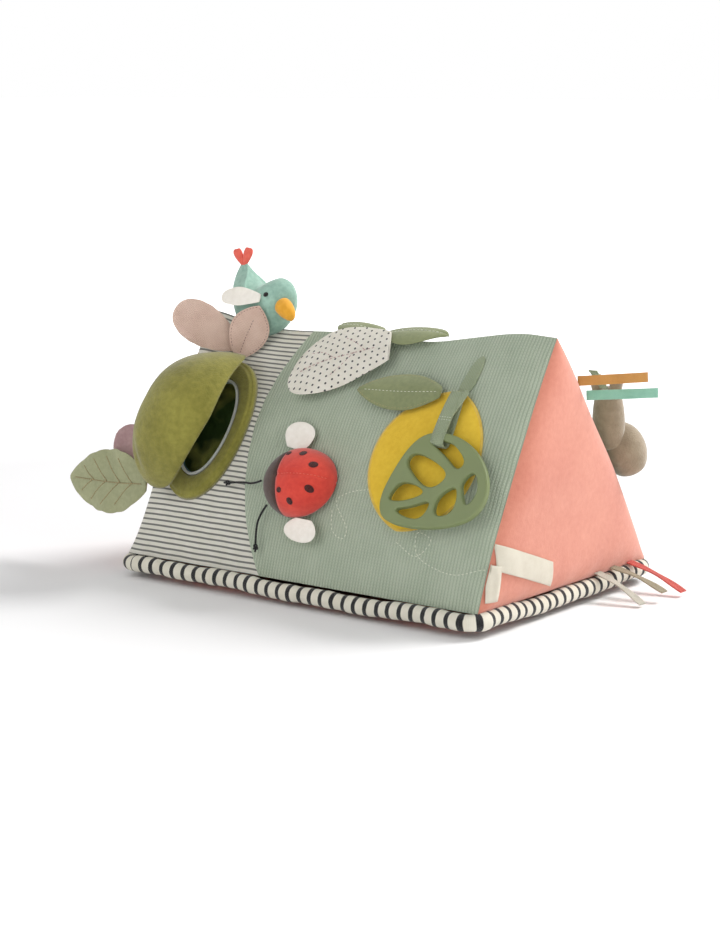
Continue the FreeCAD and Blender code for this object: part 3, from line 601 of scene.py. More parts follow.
def rounded_path(half_x, half_y, corner, step):
    """Points round a rectangle with round corners, its outward directions and its running length."""
    quarter = corner * math.pi / 2
    runs = [2 * (half_x - corner), quarter, 2 * (half_y - corner), quarter] * 2
    total = sum(runs)
    spots = []
    outs = []
    for place in np.arange(0, total, total / round(total / step)):
        turn = 0
        x, y = -(half_x - corner), -half_y
        for number, run in enumerate(runs):
            here = min(place, run)
            heading = np.array([math.cos(turn), math.sin(turn)])
            right = np.array([math.sin(turn), -math.cos(turn)])
            if number % 2:
                bend = here / corner
                x, y = (np.array([x, y]) - right * corner
                        + corner * (right * math.cos(bend) + heading * math.sin(bend)))
                turn += bend
                right = np.array([math.sin(turn), -math.cos(turn)])
            else:
                x, y = np.array([x, y]) + heading * here
            place -= here
            if place <= 0:
                break
        spots.append((x, y))
        outs.append(right)
    return np.array(spots), np.array(outs), total


spots, outs, piping_run = rounded_path(*PIPING_HALF, PIPING_CORNER, 2.0)
spots[:, 0] -= 6 * ramp(-spots[:, 0], 60, 157)
run = np.linspace(0, piping_run, len(spots) + 1)
around = np.linspace(math.pi, 3 * math.pi, 21)
wavy = 0.9 * np.sin(run / 37) + 0.5 * np.sin(run / 13 + 1)
girth = PIPING_RADIUS * (1 + 0.035 * np.sin(run / 5.3) + 0.03 * np.sin(run / 2.9 + 2))
ring_points = np.array([
    (spots[k] + outs[k] * girth[k] * math.cos(turn)).tolist()
    + [PIPING_Z + wavy[k] + girth[k] * math.sin(turn)]
    for k in range(len(spots)) for turn in around[:-1]]).reshape(len(spots), len(around) - 1, 3)
ring_points = np.concatenate([ring_points, ring_points[:1]])
ring_cut = np.stack(np.broadcast_arrays(run[:, None], around[None, :] * PIPING_RADIUS), -1)
piping = cloth_mesh("piping_sewn", ring_points * MM, ring_cut * MM, piping_cloth, ring=True)
weld = bmesh.new()
weld.from_mesh(piping.data)
bmesh.ops.remove_doubles(weld, verts=weld.verts, dist=1e-6)
weld.to_mesh(piping.data)
weld.free()
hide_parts("piping_cover", "piping_cord")
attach(piping, "cushion")


# ---------------------------------------------------------------- the pod: frame, mirror and flap
# An oval of olive velour lies round a soft safety mirror with a bound edge. A stuffed flap of the
# same velour is sewn to the frame's left edge and stands partly open.

olive_velour = cloth("olive_velour", dyed(152, 147, 68), dyed(112, 108, 42), nap, 0.0013, 0.0006,
                     fuzz=0.35, by_cut=False)
satin_binding = cloth("satin_binding", dyed(226, 230, 226), dyed(198, 204, 202), weave, 0.0006, 0.0002,
                      rough=0.45, fuzz=0.1)
POD_MIDDLE = (-114.0, -1.0)
POD_TILT = math.radians(-6)
POD_HALF = (36.0, 58.0)
SIGHT_HALF = (23.0, 40.0)


def on_pod(x, y, lift):
    """A point by the pod's own upright oval, laid on the play face."""
    u = POD_MIDDLE[0] + math.cos(POD_TILT) * x - math.sin(POD_TILT) * y
    v = POD_MIDDLE[1] + math.sin(POD_TILT) * x + math.cos(POD_TILT) * y
    return dressed(front, u, v, lift, seamed=False)


def oval_ring(name, place, inner, outer, thick, material, groove=0.0, rows=24, columns=160):
    """A padded ring between two ovals, closed underneath, with a groove sewn near its outer edge."""
    turn = np.linspace(0, 2 * math.pi, columns + 1)[None, :]
    top = np.linspace(0, 1, rows)[:, None]
    share = np.concatenate([top, top[-2:0:-1]])
    under = np.concatenate([np.zeros(rows), np.ones(rows - 2)])[:, None]
    puff = thick * np.sqrt(np.clip(1 - (2 * share - 1) ** 4, 0, 1))
    puff = puff - groove * np.exp(-((share - 0.84) / 0.05) ** 2)
    half_x = inner[0] + (outer[0] - inner[0]) * share
    half_y = inner[1] + (outer[1] - inner[1]) * share
    x, y = half_x * np.cos(turn), half_y * np.sin(turn)
    lift = np.where(under > 0, 0.3, 0.3 + puff) + 0 * x
    points = place(x, y, lift)
    points, flat = (np.concatenate([grid, grid[:1]]) for grid in (points, np.stack([x, y], -1) * MM))
    piece = cloth_mesh(name, points[:, :-1], flat, material, ring=True)
    sewn = bmesh.new()
    sewn.from_mesh(piece.data)
    bmesh.ops.remove_doubles(sewn, verts=sewn.verts, dist=1e-7)
    bmesh.ops.recalc_face_normals(sewn, faces=sewn.faces)
    sewn.to_mesh(piece.data)
    sewn.free()
    return piece


pod_frame = oval_ring("pod_frame_sewn", on_pod, (SIGHT_HALF[0] - 1, SIGHT_HALF[1] - 1), POD_HALF, 5.6,
                      olive_velour, groove=1.0)
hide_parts("pod_frame")
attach(pod_frame, "cushion")

rim = oval_ring("mirror_binding", lambda x, y, lift: on_pod(x, y, lift + 2.6),
                (SIGHT_HALF[0] - 2.6, SIGHT_HALF[1] - 2.6), (SIGHT_HALF[0] - 0.2, SIGHT_HALF[1] - 0.2), 2.0,
                satin_binding, rows=8)
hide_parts("mirror_rim")
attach(rim, "cushion")

foil = bpy.data.materials.new("mirror_foil")
foil.use_nodes = True
foil_shader = foil.node_tree.nodes["Principled BSDF"]
haze = add(foil.node_tree, "ShaderNodeTexNoise",
           {"Vector": add(foil.node_tree, "ShaderNodeTexCoord").outputs["Object"], "Scale": 35.0})
dullness = add(foil.node_tree, "ShaderNodeMapRange", {0: haze.outputs[0], 3: 0.03, 4: 0.12})
foil_bump = add(foil.node_tree, "ShaderNodeBump", {"Distance": 0.006, "Height": haze.outputs[0]})
# The foil's base colour is silver with dark teal patches laid in by noise: painted reflections of a dark
# room, not tarnish.
painted_reflection_mask = add(foil.node_tree, "ShaderNodeMapRange", {0: haze.outputs[0], 1: 0.42, 2: 0.56})
silver_and_painted_reflection = add(foil.node_tree, "ShaderNodeMix", {0: painted_reflection_mask.outputs[0], 6: dyed(86, 116, 122),
                                                  7: dyed(222, 230, 230)}, data_type="RGBA")
foil.node_tree.links.new(silver_and_painted_reflection.outputs[2], foil_shader.inputs["Base Color"])
foil.node_tree.links.new(dullness.outputs[0], foil_shader.inputs["Roughness"])
foil.node_tree.links.new(foil_bump.outputs[0], foil_shader.inputs["Normal"])
foil_shader.inputs["Metallic"].default_value = 1.0


def polar(name, rim_points, centre, top, under, place, material, rings=16, poles=(True, True)):
    """A closed pad from its outline. top and under give the height of its two faces from a point's
    share of the way out to the rim, and place puts the point on what the pad is sewn to."""
    rim_points = np.asarray(rim_points, float)
    centre = np.asarray(centre, float)
    outline = np.concatenate([rim_points, rim_points[:1]])
    share = np.sin(np.linspace(0, math.pi / 2, rings + 1))
    rows = np.concatenate([share, share[-2::-1]])[:, None]
    below = np.arange(len(rows))[:, None] > rings
    x = centre[0] + (outline[:, 0] - centre[0]) * rows
    y = centre[1] + (outline[:, 1] - centre[1]) * rows
    lift = np.where(below, under(rows + 0 * x, x, y), top(rows + 0 * x, x, y))
    points = place(x, y, lift)
    return cloth_mesh(name, points[:, :-1], np.stack([x, y], -1) * MM, material, ring=True, poles=poles)


def oval_rim(half_x, half_y, count=120):
    turn = np.linspace(0, 2 * math.pi, count + 1)[:-1]
    return np.stack([half_x * np.cos(turn), half_y * np.sin(turn)], 1)


glass = polar("mirror_plate_foil", oval_rim(SIGHT_HALF[0] - 1.2, SIGHT_HALF[1] - 1.2), (0, 0),
              lambda r, x, y: 2.7 - 0.4 * r ** 6, lambda r, x, y: 0.6 + 0 * r, on_pod, foil)
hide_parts("mirror_plate")
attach(glass, "cushion")

FLAP_OPEN = math.radians(24)
FLAP_RISE = 33.0
HINGE_LIFT = 16.4
pod_x = math.cos(POD_TILT) * front.along + math.sin(POD_TILT) * front.up
pod_y = -math.sin(POD_TILT) * front.along + math.cos(POD_TILT) * front.up
hinge_middle = front.flat(POD_MIDDLE[0], POD_MIDDLE[1], HINGE_LIFT) / MM - POD_HALF[0] * pod_x
flap_x = math.cos(FLAP_OPEN) * pod_x + math.sin(FLAP_OPEN) * front.out


def placed(origin, ahead, across):
    """A function that places a piece by its own axes: ahead, across, and up from both."""
    up = np.cross(ahead, across)

    def at(x, y, z):
        x, y, z = (np.asarray(value, float)[..., None] for value in (x, y, z))
        return (origin + x * ahead + y * across + z * up) * MM
    return at


on_flat_flap = placed(hinge_middle + POD_HALF[0] * flap_x, flap_x, pod_y)


def on_flap(x, y, lift):
    """The flap slants to the left at its foot and curls in at both ends, where it is tacked down."""
    x, y, lift = np.broadcast_arrays(*(np.asarray(value, float) for value in (x, y, lift)))
    x = x + np.where(y < 0, 0.3, 0.08) * y
    reach = ramp(x, -POD_HALF[0], 4)
    curl = reach * (19 * np.clip(y / POD_HALF[1], 0, 1) ** 3 + 11 * np.clip(-y / POD_HALF[1], 0, 1) ** 3)
    return on_flat_flap(x, y, lift - curl)


def flap_height(r, x, y):
    """A plump pillow, fullest near the hinge, drawn in along a soft crease at its lower end."""
    puff = FLAP_RISE * np.clip(1 - r ** 2.3, 0, 1) ** 0.62 * (1 - 0.16 * x / POD_HALF[0])
    crease = 3.0 * np.exp(-((x + 8 + 0.35 * (y + 40)) / 5) ** 2) * ramp(-y, 22, 48) * ramp(1 - r, 0.0, 0.25)
    pinch = 0.6 * np.sin(y / 6.5) * np.exp(-((1 - r) / 0.12)) * ramp(1 - r, 0, 0.04)
    return 1.3 + puff - crease + pinch


flap = polar("flap_cover_stuffed", oval_rim(*POD_HALF), (0, 0), flap_height,
             lambda r, x, y: 1.3 + 0.0 * r, on_flap, olive_velour, rings=30)
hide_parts("flap_cover", "flap_wadding")
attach(flap, "flap")
lining = polar("flap_lining_sewn", oval_rim(POD_HALF[0] - 0.6, POD_HALF[1] - 0.6), (0, 0),
               lambda r, x, y: 1.2 + 0 * r, lambda r, x, y: 0.2 + 0.5 * np.cos(r * 9) * (1 - r), on_flap,
               olive_velour)
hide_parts("flap_lining")
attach(lining, "flap")

# The gusset joins the frame's left edge to the flap's.
turn = np.linspace(math.radians(118), math.radians(242), 60)[None, :]
climb = np.linspace(0, 1, 12)[:, None]
low_edge = on_pod((POD_HALF[0] - 3) * np.cos(turn), (POD_HALF[1] - 3) * np.sin(turn), 4.0)
high_edge = on_flap((POD_HALF[0] - 2.5) * np.cos(turn), (POD_HALF[1] - 2.5) * np.sin(turn), 1.5 + 0 * turn)
swell = (4.0 * np.sin(math.pi * climb) * MM)[..., None] * (np.cos(turn)[..., None] * pod_x
                                                          + np.sin(turn)[..., None] * pod_y)
gusset_points = low_edge + (high_edge - low_edge) * climb[..., None] + swell
gusset_cut = np.stack(np.broadcast_arrays(turn * 50, climb * 14), -1) * MM
gusset = cloth_mesh("flap_gusset", gusset_points, gusset_cut, olive_velour, out=-pod_x)
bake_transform(gusset, "cushion", "flap", start=low_edge[0, 30].tolist(), end=high_edge[0, 30].tolist())


# ---------------------------------------------------------------- leaves and their stitching
# Flat stuffed leaves in cottons and velour, each turned through a narrow opening at its root and
# sewn into a seam by it. Their veins are rows of embroidery thread.

def leaf_frame(root, tip, face):
    """A leaf's own axes from where it is sewn in, where it ends and which way it faces."""
    root, tip = (np.asarray(place, float) for place in (root, tip))
    ahead = unit(tip - root)
    across = unit(np.cross(face, ahead))
    return placed(root, ahead, across), float(np.linalg.norm(tip - root))


class Leaf:
    """The shape of one leaf: its half width along its length, and how it cups, curls and waves."""

    def __init__(self, root, tip, face, width, thick=3.0, widest=0.5, blunt=1.0, tab=4.0, cup=0.0,
                 curl=0.0, wave=0.0, waves=3.0, droop=0.0, lean=0.0):
        self.at, self.length = leaf_frame(root, tip, face)
        self.width, self.thick, self.tab = width, thick, tab
        self.widest, self.blunt = widest, blunt
        self.cup, self.curl, self.wave, self.waves = cup, curl, wave, waves
        self.droop, self.lean = droop, lean

    def half_width(self, share):
        """Half the width at a share of the length: arcs that meet at the widest place."""
        share = np.asarray(share, float)
        early = 1 - (1 - np.clip(share / self.widest, 0, 1)) ** 2
        late = np.clip((share - self.widest) / (1 - self.widest), 0, 1)
        late = (1 - late ** 2) ** self.blunt
        plain = self.tab / 2 + (self.width - self.tab) / 2 * early
        return np.where(share < self.widest, plain, self.width / 2 * late)

    def bent(self, x, y):
        """How far the leaf's middle layer stands off its flat plane."""
        share = np.clip(x / self.length, 0, 1)
        aside = y / (self.width / 2)
        lift = self.cup * aside ** 2 * np.sin(math.pi * np.clip(share, 0.02, 1)) ** 0.5
        lift = lift + self.curl * share ** 2 - self.droop * (1 - share) ** 2
        return lift + self.wave * np.sin(share * math.pi * self.waves) * aside * np.abs(aside)

    def aside(self, x):
        """How far the middle of the leaf has swung to one side by here."""
        return self.lean * np.clip(x / self.length, 0, 1) ** 4

    def on(self, x, y, above=0.0):
        """A point above the leaf's front face."""
        x, y = np.asarray(x, float), np.asarray(y, float)
        half = np.maximum(self.half_width(x / self.length), 0.5)
        plump = self.thick * (0.35 + 0.65 * np.sqrt(np.clip(1 - (y / half) ** 2, 0, 1)))
        return self.at(x, y + self.aside(x), self.bent(x, y) + plump + above)

    def mesh(self, name, material, rows=60, columns=48, scallop=0.0, vein=0.0):
        share = np.sin(np.linspace(0, math.pi / 2, rows))[:, None] ** 1.15
        turn = np.linspace(0, 2 * math.pi, columns + 1)[None, :]
        half = self.half_width(share) * (1 + scallop * np.abs(np.sin(share * math.pi * 6)) - scallop)
        x = share * self.length + 0 * turn
        side = np.cos(turn)
        y = half * np.sign(side) * np.abs(side) ** 0.8
        plump = self.thick / 2 * (0.16 + 0.84 * np.sin(turn) ** 2) * np.sign(np.sin(turn) + 1e-9)
        plump = plump * np.minimum(1, 0.4 + half / 6)
        plump = np.where(np.abs(side) > 0.999, 0, plump)
        groove = vein * np.exp(-(y / 1.2) ** 2) * (np.sin(turn) > 0)
        z = self.thick / 2 + self.bent(x, y) + plump - groove
        points = self.at(x, y + self.aside(x), z)
        return cloth_mesh(name, points[:, :-1], np.stack([x, y], -1) * MM, material, ring=True,
                          poles=(True, True))


stitch_run = bpy.data.node_groups.new("stitch_run", "GeometryNodeTree")
for label, kind, value in (("Geometry", "NodeSocketGeometry", None), ("Spacing", "NodeSocketFloat", 0.004),
                           ("Length", "NodeSocketFloat", 0.003), ("Thread", "NodeSocketFloat", 0.0006),
                           ("Turn", "NodeSocketFloat", 0.0), ("Material", "NodeSocketMaterial", None)):
    socket = stitch_run.interface.new_socket(label, in_out="INPUT", socket_type=kind)
    if value is not None:
        socket.default_value = value
stitch_run.interface.new_socket("Geometry", in_out="OUTPUT", socket_type="NodeSocketGeometry")
given = stitch_run.nodes.new("NodeGroupInput").outputs
wanted = stitch_run.nodes.new("NodeGroupOutput").inputs
line = add(stitch_run, "GeometryNodeMeshToCurve", {0: given["Geometry"]})
spaced = add(stitch_run, "GeometryNodeResampleCurve", {"Curve": line.outputs[0], "Length": given["Spacing"]},
             mode="LENGTH")
bead = add(stitch_run, "GeometryNodeMeshUVSphere", {"Segments": 8, "Rings": 5, "Radius": 0.5})
thread_size = add(stitch_run, "ShaderNodeCombineXYZ",
                  {0: given["Length"], 1: given["Thread"], 2: given["Thread"]})
thread = add(stitch_run, "GeometryNodeTransform",
             {"Geometry": bead.outputs[0], "Scale": thread_size.outputs[0]})
tangent = add(stitch_run, "GeometryNodeInputTangent")
away = add(stitch_run, "GeometryNodeInputNamedAttribute", {"Name": "away"}, data_type="FLOAT_VECTOR")
ahead_turn = add(stitch_run, "FunctionNodeAlignRotationToVector", {"Vector": tangent.outputs[0]}, axis="X")
upright = add(stitch_run, "FunctionNodeAlignRotationToVector",
              {"Rotation": ahead_turn.outputs[0], "Vector": away.outputs[0]}, axis="Z", pivot_axis="X")
quarter = add(stitch_run, "FunctionNodeAxisAngleToRotation", {"Axis": (0, 0, 1), "Angle": given["Turn"]})
turned = add(stitch_run, "FunctionNodeRotateRotation",
             {"Rotation": upright.outputs[0], "Rotate By": quarter.outputs[0]}, rotation_space="LOCAL")
copies = add(stitch_run, "GeometryNodeInstanceOnPoints",
             {"Points": spaced.outputs[0], "Instance": thread.outputs[0], "Rotation": turned.outputs[0]})
real = add(stitch_run, "GeometryNodeRealizeInstances", {0: copies.outputs[0]})
coloured = add(stitch_run, "GeometryNodeSetMaterial", {"Geometry": real.outputs[0],
                                                       "Material": given["Material"]})
stitch_run.links.new(coloured.outputs[0], wanted[0])


def sew(name, lines, away, material, body, spacing=4.0, length=3.0, thread=0.7, turn=0.0):
    """Stitches along lines of points in metres, lying on cloth whose outside faces away."""
    lines = [np.asarray(points, float) for points in lines]
    starts = np.cumsum([0] + [len(points) for points in lines])
    edges = [(k, k + 1) for start, end in zip(starts, starts[1:]) for k in range(start, end - 1)]
    guide_mesh = bpy.data.meshes.new("guide")
    guide_mesh.from_pydata(np.concatenate(lines).tolist(), edges, [])
    facing = guide_mesh.attributes.new("away", "FLOAT_VECTOR", "POINT")
    facing.data.foreach_set("vector", np.tile(np.asarray(away, np.float32), starts[-1]))
    guide = bpy.data.objects.new("guide", guide_mesh)
    bpy.context.scene.collection.objects.link(guide)
    modifier = guide.modifiers.new("stitches", "NODES")
    modifier.node_group = stitch_run
    values = {"Spacing": spacing * MM, "Length": length * MM, "Thread": thread * MM, "Turn": turn,
              "Material": material}
    for item in stitch_run.interface.items_tree:
        if item.in_out == "INPUT" and item.name in values:
            modifier[item.identifier] = values[item.name]
    sewn = plain_mesh(guide)
    bpy.data.objects.remove(guide)
    for attribute in [a.name for a in sewn.attributes if a.name == "away"]:
        sewn.attributes.remove(sewn.attributes[attribute])
    piece = show(sewn, name, material)
    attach(piece, body)
    return piece


def path(spots, steps=12):
    """A smooth line through spots (x, y), by the spline that passes through all of them."""
    spots = np.asarray(spots, float)
    ends = np.concatenate([[2 * spots[0] - spots[1]], spots, [2 * spots[-1] - spots[-2]]])
    share = np.linspace(0, 1, steps, endpoint=False)[:, None]
    pieces = []
    for a, b, c, d in zip(ends, ends[1:], ends[2:], ends[3:]):
        pieces.append(0.5 * (2 * b + (c - a) * share + (2 * a - 5 * b + 4 * c - d) * share ** 2
                             + (3 * b - a - 3 * c + d) * share ** 3))
    return np.concatenate(pieces + [spots[-1:]])


towards_player = np.array((0.601, -0.780, 0.173))
pink_cloth = cloth("pink_cloth", dyed(238, 209, 193), dyed(214, 178, 162), weave, 0.0011, 0.0004, fuzz=0.3)
sage_leaf_cloth = cloth("sage_leaf_cloth", dyed(170, 172, 135), dyed(142, 146, 112), nap, 0.001, 0.0003,
                        fuzz=0.3, by_cut=False)
mauve_cloth = cloth("mauve_cloth", dyed(188, 158, 156), dyed(160, 128, 130), nap, 0.001, 0.0003,
                    by_cut=False)
tan_thread = cloth("tan_thread", dyed(178, 160, 118), dyed(150, 132, 94), weave, 0.0004, 0.0001, by_cut=False)
rose_thread = cloth("rose_thread", dyed(166, 118, 108), dyed(140, 96, 90), weave, 0.0004, 0.0001,
                    by_cut=False)
mauve_thread = cloth("mauve_thread", dyed(196, 150, 150), dyed(170, 122, 126), weave, 0.0004, 0.0001,
                     by_cut=False)
pale_thread = cloth("pale_thread", dyed(240, 243, 228), dyed(222, 228, 208), weave, 0.0004, 0.0001,
                    by_cut=False)

wide = Leaf(front.flat(-116, 65, 9.5) / MM, front.flat(-157, 79, 43) / MM, towards_player, 32, widest=0.6,
            blunt=0.42, cup=3.0, wave=1.2, waves=4, tab=9)
narrow = Leaf(front.flat(-111, 59, 9) / MM, front.flat(-94, 94, 24) / MM, towards_player, 30, widest=0.5,
              blunt=0.85, cup=-1.5, tab=10)
side_leaf = Leaf((-161, -88, 66), (-249, -82, 62), (0.25, -0.95, 0.2), 50, widest=0.42, blunt=0.75, cup=2.0,
                 wave=1.6, waves=5, tab=10)
mauve = Leaf((-161, -76, 73), (-207, -71, 100), (0.25, -0.95, 0.2), 34, widest=0.6, blunt=0.5, cup=1.5, tab=9)

for name, shape, material, scallop, vein in (
        ("pink_leaf_wide", wide, pink_cloth, 0.02, 0.0), ("pink_leaf_narrow", narrow, pink_cloth, 0.0, 0.8),
        ("side_leaf", side_leaf, sage_leaf_cloth, 0.035, 0.5), ("mauve_leaf", mauve, mauve_cloth, 0.0, 0.5)):
    piece = shape.mesh(f"{name}_stuffed", material, scallop=scallop, vein=vein)
    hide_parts(name)
    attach(piece, name)
    if name == "side_leaf":
        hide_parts("side_leaf_film")

vein_lines = [[(6, 0), (40, 1), (80, 0)]]
for start, reach, drop in ((16, 16, 17), (30, 17, 18), (45, 15, 15), (60, 11, 9)):
    for side in (-1, 1):
        vein_lines.append([(start, 0.5 * side), (start + reach * 0.5, drop * 0.45 * side),
                           (start + reach, drop * side)])
sew("side_leaf_veins", [side_leaf.on(*path(spots).T, 0.1) for spots in vein_lines],
    unit((0.25, -0.95, 0.2)), tan_thread, "side_leaf",
    spacing=2.2, length=2.4, thread=0.75)
sew("pink_leaf_narrow_crease", [narrow.on(*path([(3, 0), (15, 0.4), (29, 0)]).T, -0.5)], towards_player,
    rose_thread, "pink_leaf_narrow", spacing=2.2, length=1.7, thread=0.5)


def edge_line(shape, side, inset, low=0.12, high=0.96, count=40):
    """A line that keeps inside a leaf's edge by inset."""
    share = np.linspace(low, high, count)
    return shape.on(share * shape.length, side * np.maximum(shape.half_width(share) - inset, 0), 0.05)


sew("pink_leaf_edges", [edge_line(narrow, side, 1.6) for side in (-1, 1)], towards_player, rose_thread,
    "pink_leaf_narrow", spacing=2.4, length=1.7, thread=0.5)


# ---------------------------------------------------------------- the spotted leaf
# Ivory cotton printed with black dots in slanting rows, and two veins of mauve stitches. It is sewn
# in by its ridge end over the seam and lies on the play face.

DOT_PITCH = (0.0062, 0.0045)


def dots(tree, place):
    """Round dots in rows, every other row set half a step along."""
    turned = add(tree, "ShaderNodeMapping",
                 {"Vector": place, "Rotation": (0, 0, math.radians(38))}).outputs[0]
    spot = add(tree, "ShaderNodeSeparateXYZ", {0: turned}).outputs
    row = sums(tree, "DIVIDE", spot[1], DOT_PITCH[1])
    odd = sums(tree, "MODULO", sums(tree, "FLOOR", row), 2.0)
    column = sums(tree, "ADD", sums(tree, "DIVIDE", spot[0], DOT_PITCH[0]), sums(tree, "MULTIPLY", odd, 0.5))
    offsets = [sums(tree, "MULTIPLY", sums(tree, "SUBTRACT", sums(tree, "FRACT", value), 0.5), pitch)
               for value, pitch in ((column, DOT_PITCH[0]), (row, DOT_PITCH[1]))]
    squares = [sums(tree, "MULTIPLY", value, value) for value in offsets]
    distance = sums(tree, "SQRT", sums(tree, "ADD", *squares))
    mask = add(tree, "ShaderNodeMapRange", {0: distance, 1: 0.0007, 2: 0.00095, 3: 1.0, 4: 0.0})
    return mask.outputs[0], dyed(36, 34, 34)


dotted_cloth = cloth("dotted_cloth", dyed(254, 250, 238), dyed(243, 237, 222), weave, 0.0007, 0.0003,
                     printed=dots)
tilted_out = front.up * 0.15 + front.out * 0.99
spotted = Leaf(front.flat(25, 77, 7.4) / MM, front.flat(-54, 53, 12) / MM, tilted_out, 52, widest=0.62,
               blunt=0.52, cup=-1.8, wave=1.0, waves=3, tab=24, curl=1.5, lean=16)
spotted_piece = spotted.mesh("spotted_leaf_stuffed", dotted_cloth, vein=0.6)
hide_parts("spotted_leaf", "spotted_leaf_film")
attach(spotted_piece, "spotted_leaf")
spotted_veins = [[(14, 0), (40, 1), (72, 0)], [(30, 1), (38, 8), (47, 14)], [(48, -1), (55, -7), (64, -11)],
                 [(22, -1), (29, -8), (37, -14)]]
sew("spotted_leaf_veins", [spotted.on(*path(spots).T, 0.0) for spots in spotted_veins], tilted_out,
    mauve_thread, "spotted_leaf", spacing=3.4, length=2.4, thread=0.5)


# ---------------------------------------------------------------- two leaves on the ridge
# A pair of sage velour leaves sewn into the ridge seam by their roots, one lying each way.

olive_leaf_cloth = cloth("olive_leaf_cloth", dyed(142, 149, 108), dyed(116, 125, 88), nap, 0.001, 0.0003,
                         fuzz=0.3, by_cut=False)
for name, root, tip, width in (("ridge_leaf_right", (7, -15, 192), (62, -11, 192), 32),
                               ("ridge_leaf_left", (5, -15, 192), (-38, -11, 192), 30)):
    shape = Leaf(root, tip, (0, -0.25, 1), width, widest=0.45, blunt=0.8, cup=-5.0, curl=-5.0, droop=8.0,
                 tab=8)
    piece = shape.mesh(f"{name}_stuffed", olive_leaf_cloth, vein=1.2)
    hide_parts(name)
    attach(piece, name)
    sew(f"{name}_vein", [shape.on(*path([(6, 0), (22, 0.5), (shape.length - 6, 0)]).T, -0.8)], (0, 0, 1),
        pale_thread, name, spacing=3.2, length=2.2, thread=0.5)


# ---------------------------------------------------------------- the lemon, its leaf and its stem
# A yellow felt lemon sewn flat on the knit with a satin-stitched edge, a loose olive leaf beside it,
# and a tape stem that carries the strap.

lemon_felt = cloth("lemon_felt", dyed(234, 199, 64), dyed(216, 176, 46), nap, 0.0011, 0.0003, fuzz=0.2,
                   by_cut=False)
lemon_thread = cloth("lemon_thread", dyed(242, 212, 104), dyed(222, 186, 72), weave, 0.0004, 0.0001,
                     by_cut=False)
sage_tape = cloth("sage_tape", dyed(166, 178, 146), dyed(136, 150, 118), weave, 0.0011, 0.0004)


def bowed(corners, steps=24):
    """An outline whose edges are arcs: each corner is (x, y, bow), and bow swells to the right."""
    outline = []
    for number, corner in enumerate(corners):
        start = np.array(corner[:2], float)
        end = np.array(corners[(number + 1) % len(corners)][:2], float)
        bow = corner[2] if len(corner) > 2 else 0.0
        chord = end - start
        span = np.linalg.norm(chord)
        right = np.array([chord[1], -chord[0]]) / span
        share = np.linspace(0, 1, steps, endpoint=False)[:, None]
        if abs(bow) < 1e-6:
            outline.append(start + chord * share)
            continue
        radius = span ** 2 / (8 * bow) + bow / 2
        middle = (start + end) / 2 + right * (bow - radius)
        sweep = 2 * math.atan2(span / 2, radius - bow)
        first = math.atan2(*(start - middle)[::-1])
        outline.append(middle + abs(radius) * np.concatenate(
            [np.cos(first + sweep * share), np.sin(first + sweep * share)], 1))
    return np.concatenate(outline)


def eased(points, times):
    """Corners cut off again and again until the closed outline is smooth."""
    for _ in range(times):
        following = np.roll(points, -1, 0)
        points = np.stack([0.75 * points + 0.25 * following,
                           0.25 * points + 0.75 * following], 1).reshape(-1, 2)
    return points


def on_front(u, v, lift):
    return dressed(front, u, v, lift)


lemon_rim = bowed([(97, 47, 47), (78, -58, 43)], 60)
lemon = polar("lemon_sewn", lemon_rim, (88, -5), lambda r, x, y: 0.3 + 1.5 * (1 - r ** 8) ** 0.5,
              lambda r, x, y: 0.1 + 0 * r, on_front, lemon_felt, rings=40)
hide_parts("lemon_applique")
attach(lemon, "cushion")
edge_run = np.concatenate([lemon_rim, lemon_rim[:1]])
edge_run = np.array([88, -5]) + (edge_run - np.array([88, -5])) * 0.985
sew("lemon_edge", [on_front(edge_run[:, 0], edge_run[:, 1], 0.9)], front.out, lemon_thread, "cushion",
    spacing=0.75, length=2.6, thread=0.8, turn=math.radians(90))

lemon_leaf = Leaf(front.flat(84, 44, 11.6) / MM, front.flat(12, 39, 12) / MM, tilted_out, 30, widest=0.45,
                  blunt=0.85, cup=-1.5, curl=1.0, tab=8)
lemon_leaf_piece = lemon_leaf.mesh("lemon_leaf_stuffed", olive_leaf_cloth, vein=0.6)
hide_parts("lemon_leaf")
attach(lemon_leaf_piece, "lemon_leaf")
sew("lemon_leaf_vein", [lemon_leaf.on(*path([(5, 0), (34, 0.8), (64, 0)]).T, -0.5)], tilted_out, pale_thread,
    "lemon_leaf", spacing=3.0, length=2.0, thread=0.45)
sew("lemon_leaf_edges", [edge_line(lemon_leaf, side, 1.5) for side in (-1, 1)], tilted_out, tan_thread,
    "lemon_leaf", spacing=2.6, length=1.8, thread=0.4)

tape_rim = eased(np.array([(93.5, 46), (105.5, 45), (108, 68), (105, 75), (99.5, 73), (95.5, 60)], float), 2)
tape = polar("stem_tape_sewn", tape_rim, tape_rim.mean(0), lambda r, x, y: 1.5 - 0.4 * r ** 6,
             lambda r, x, y: 0.1 + 0 * r, on_front, sage_tape, rings=10)
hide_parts("stem_tape")
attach(tape, "cushion")


# ---------------------------------------------------------------- strap and teether
# A doubled tape loops through the teether's top opening and is stitched shut above it. The teether
# is a leaf of sage silicone with round edges, cut through between its ribs.

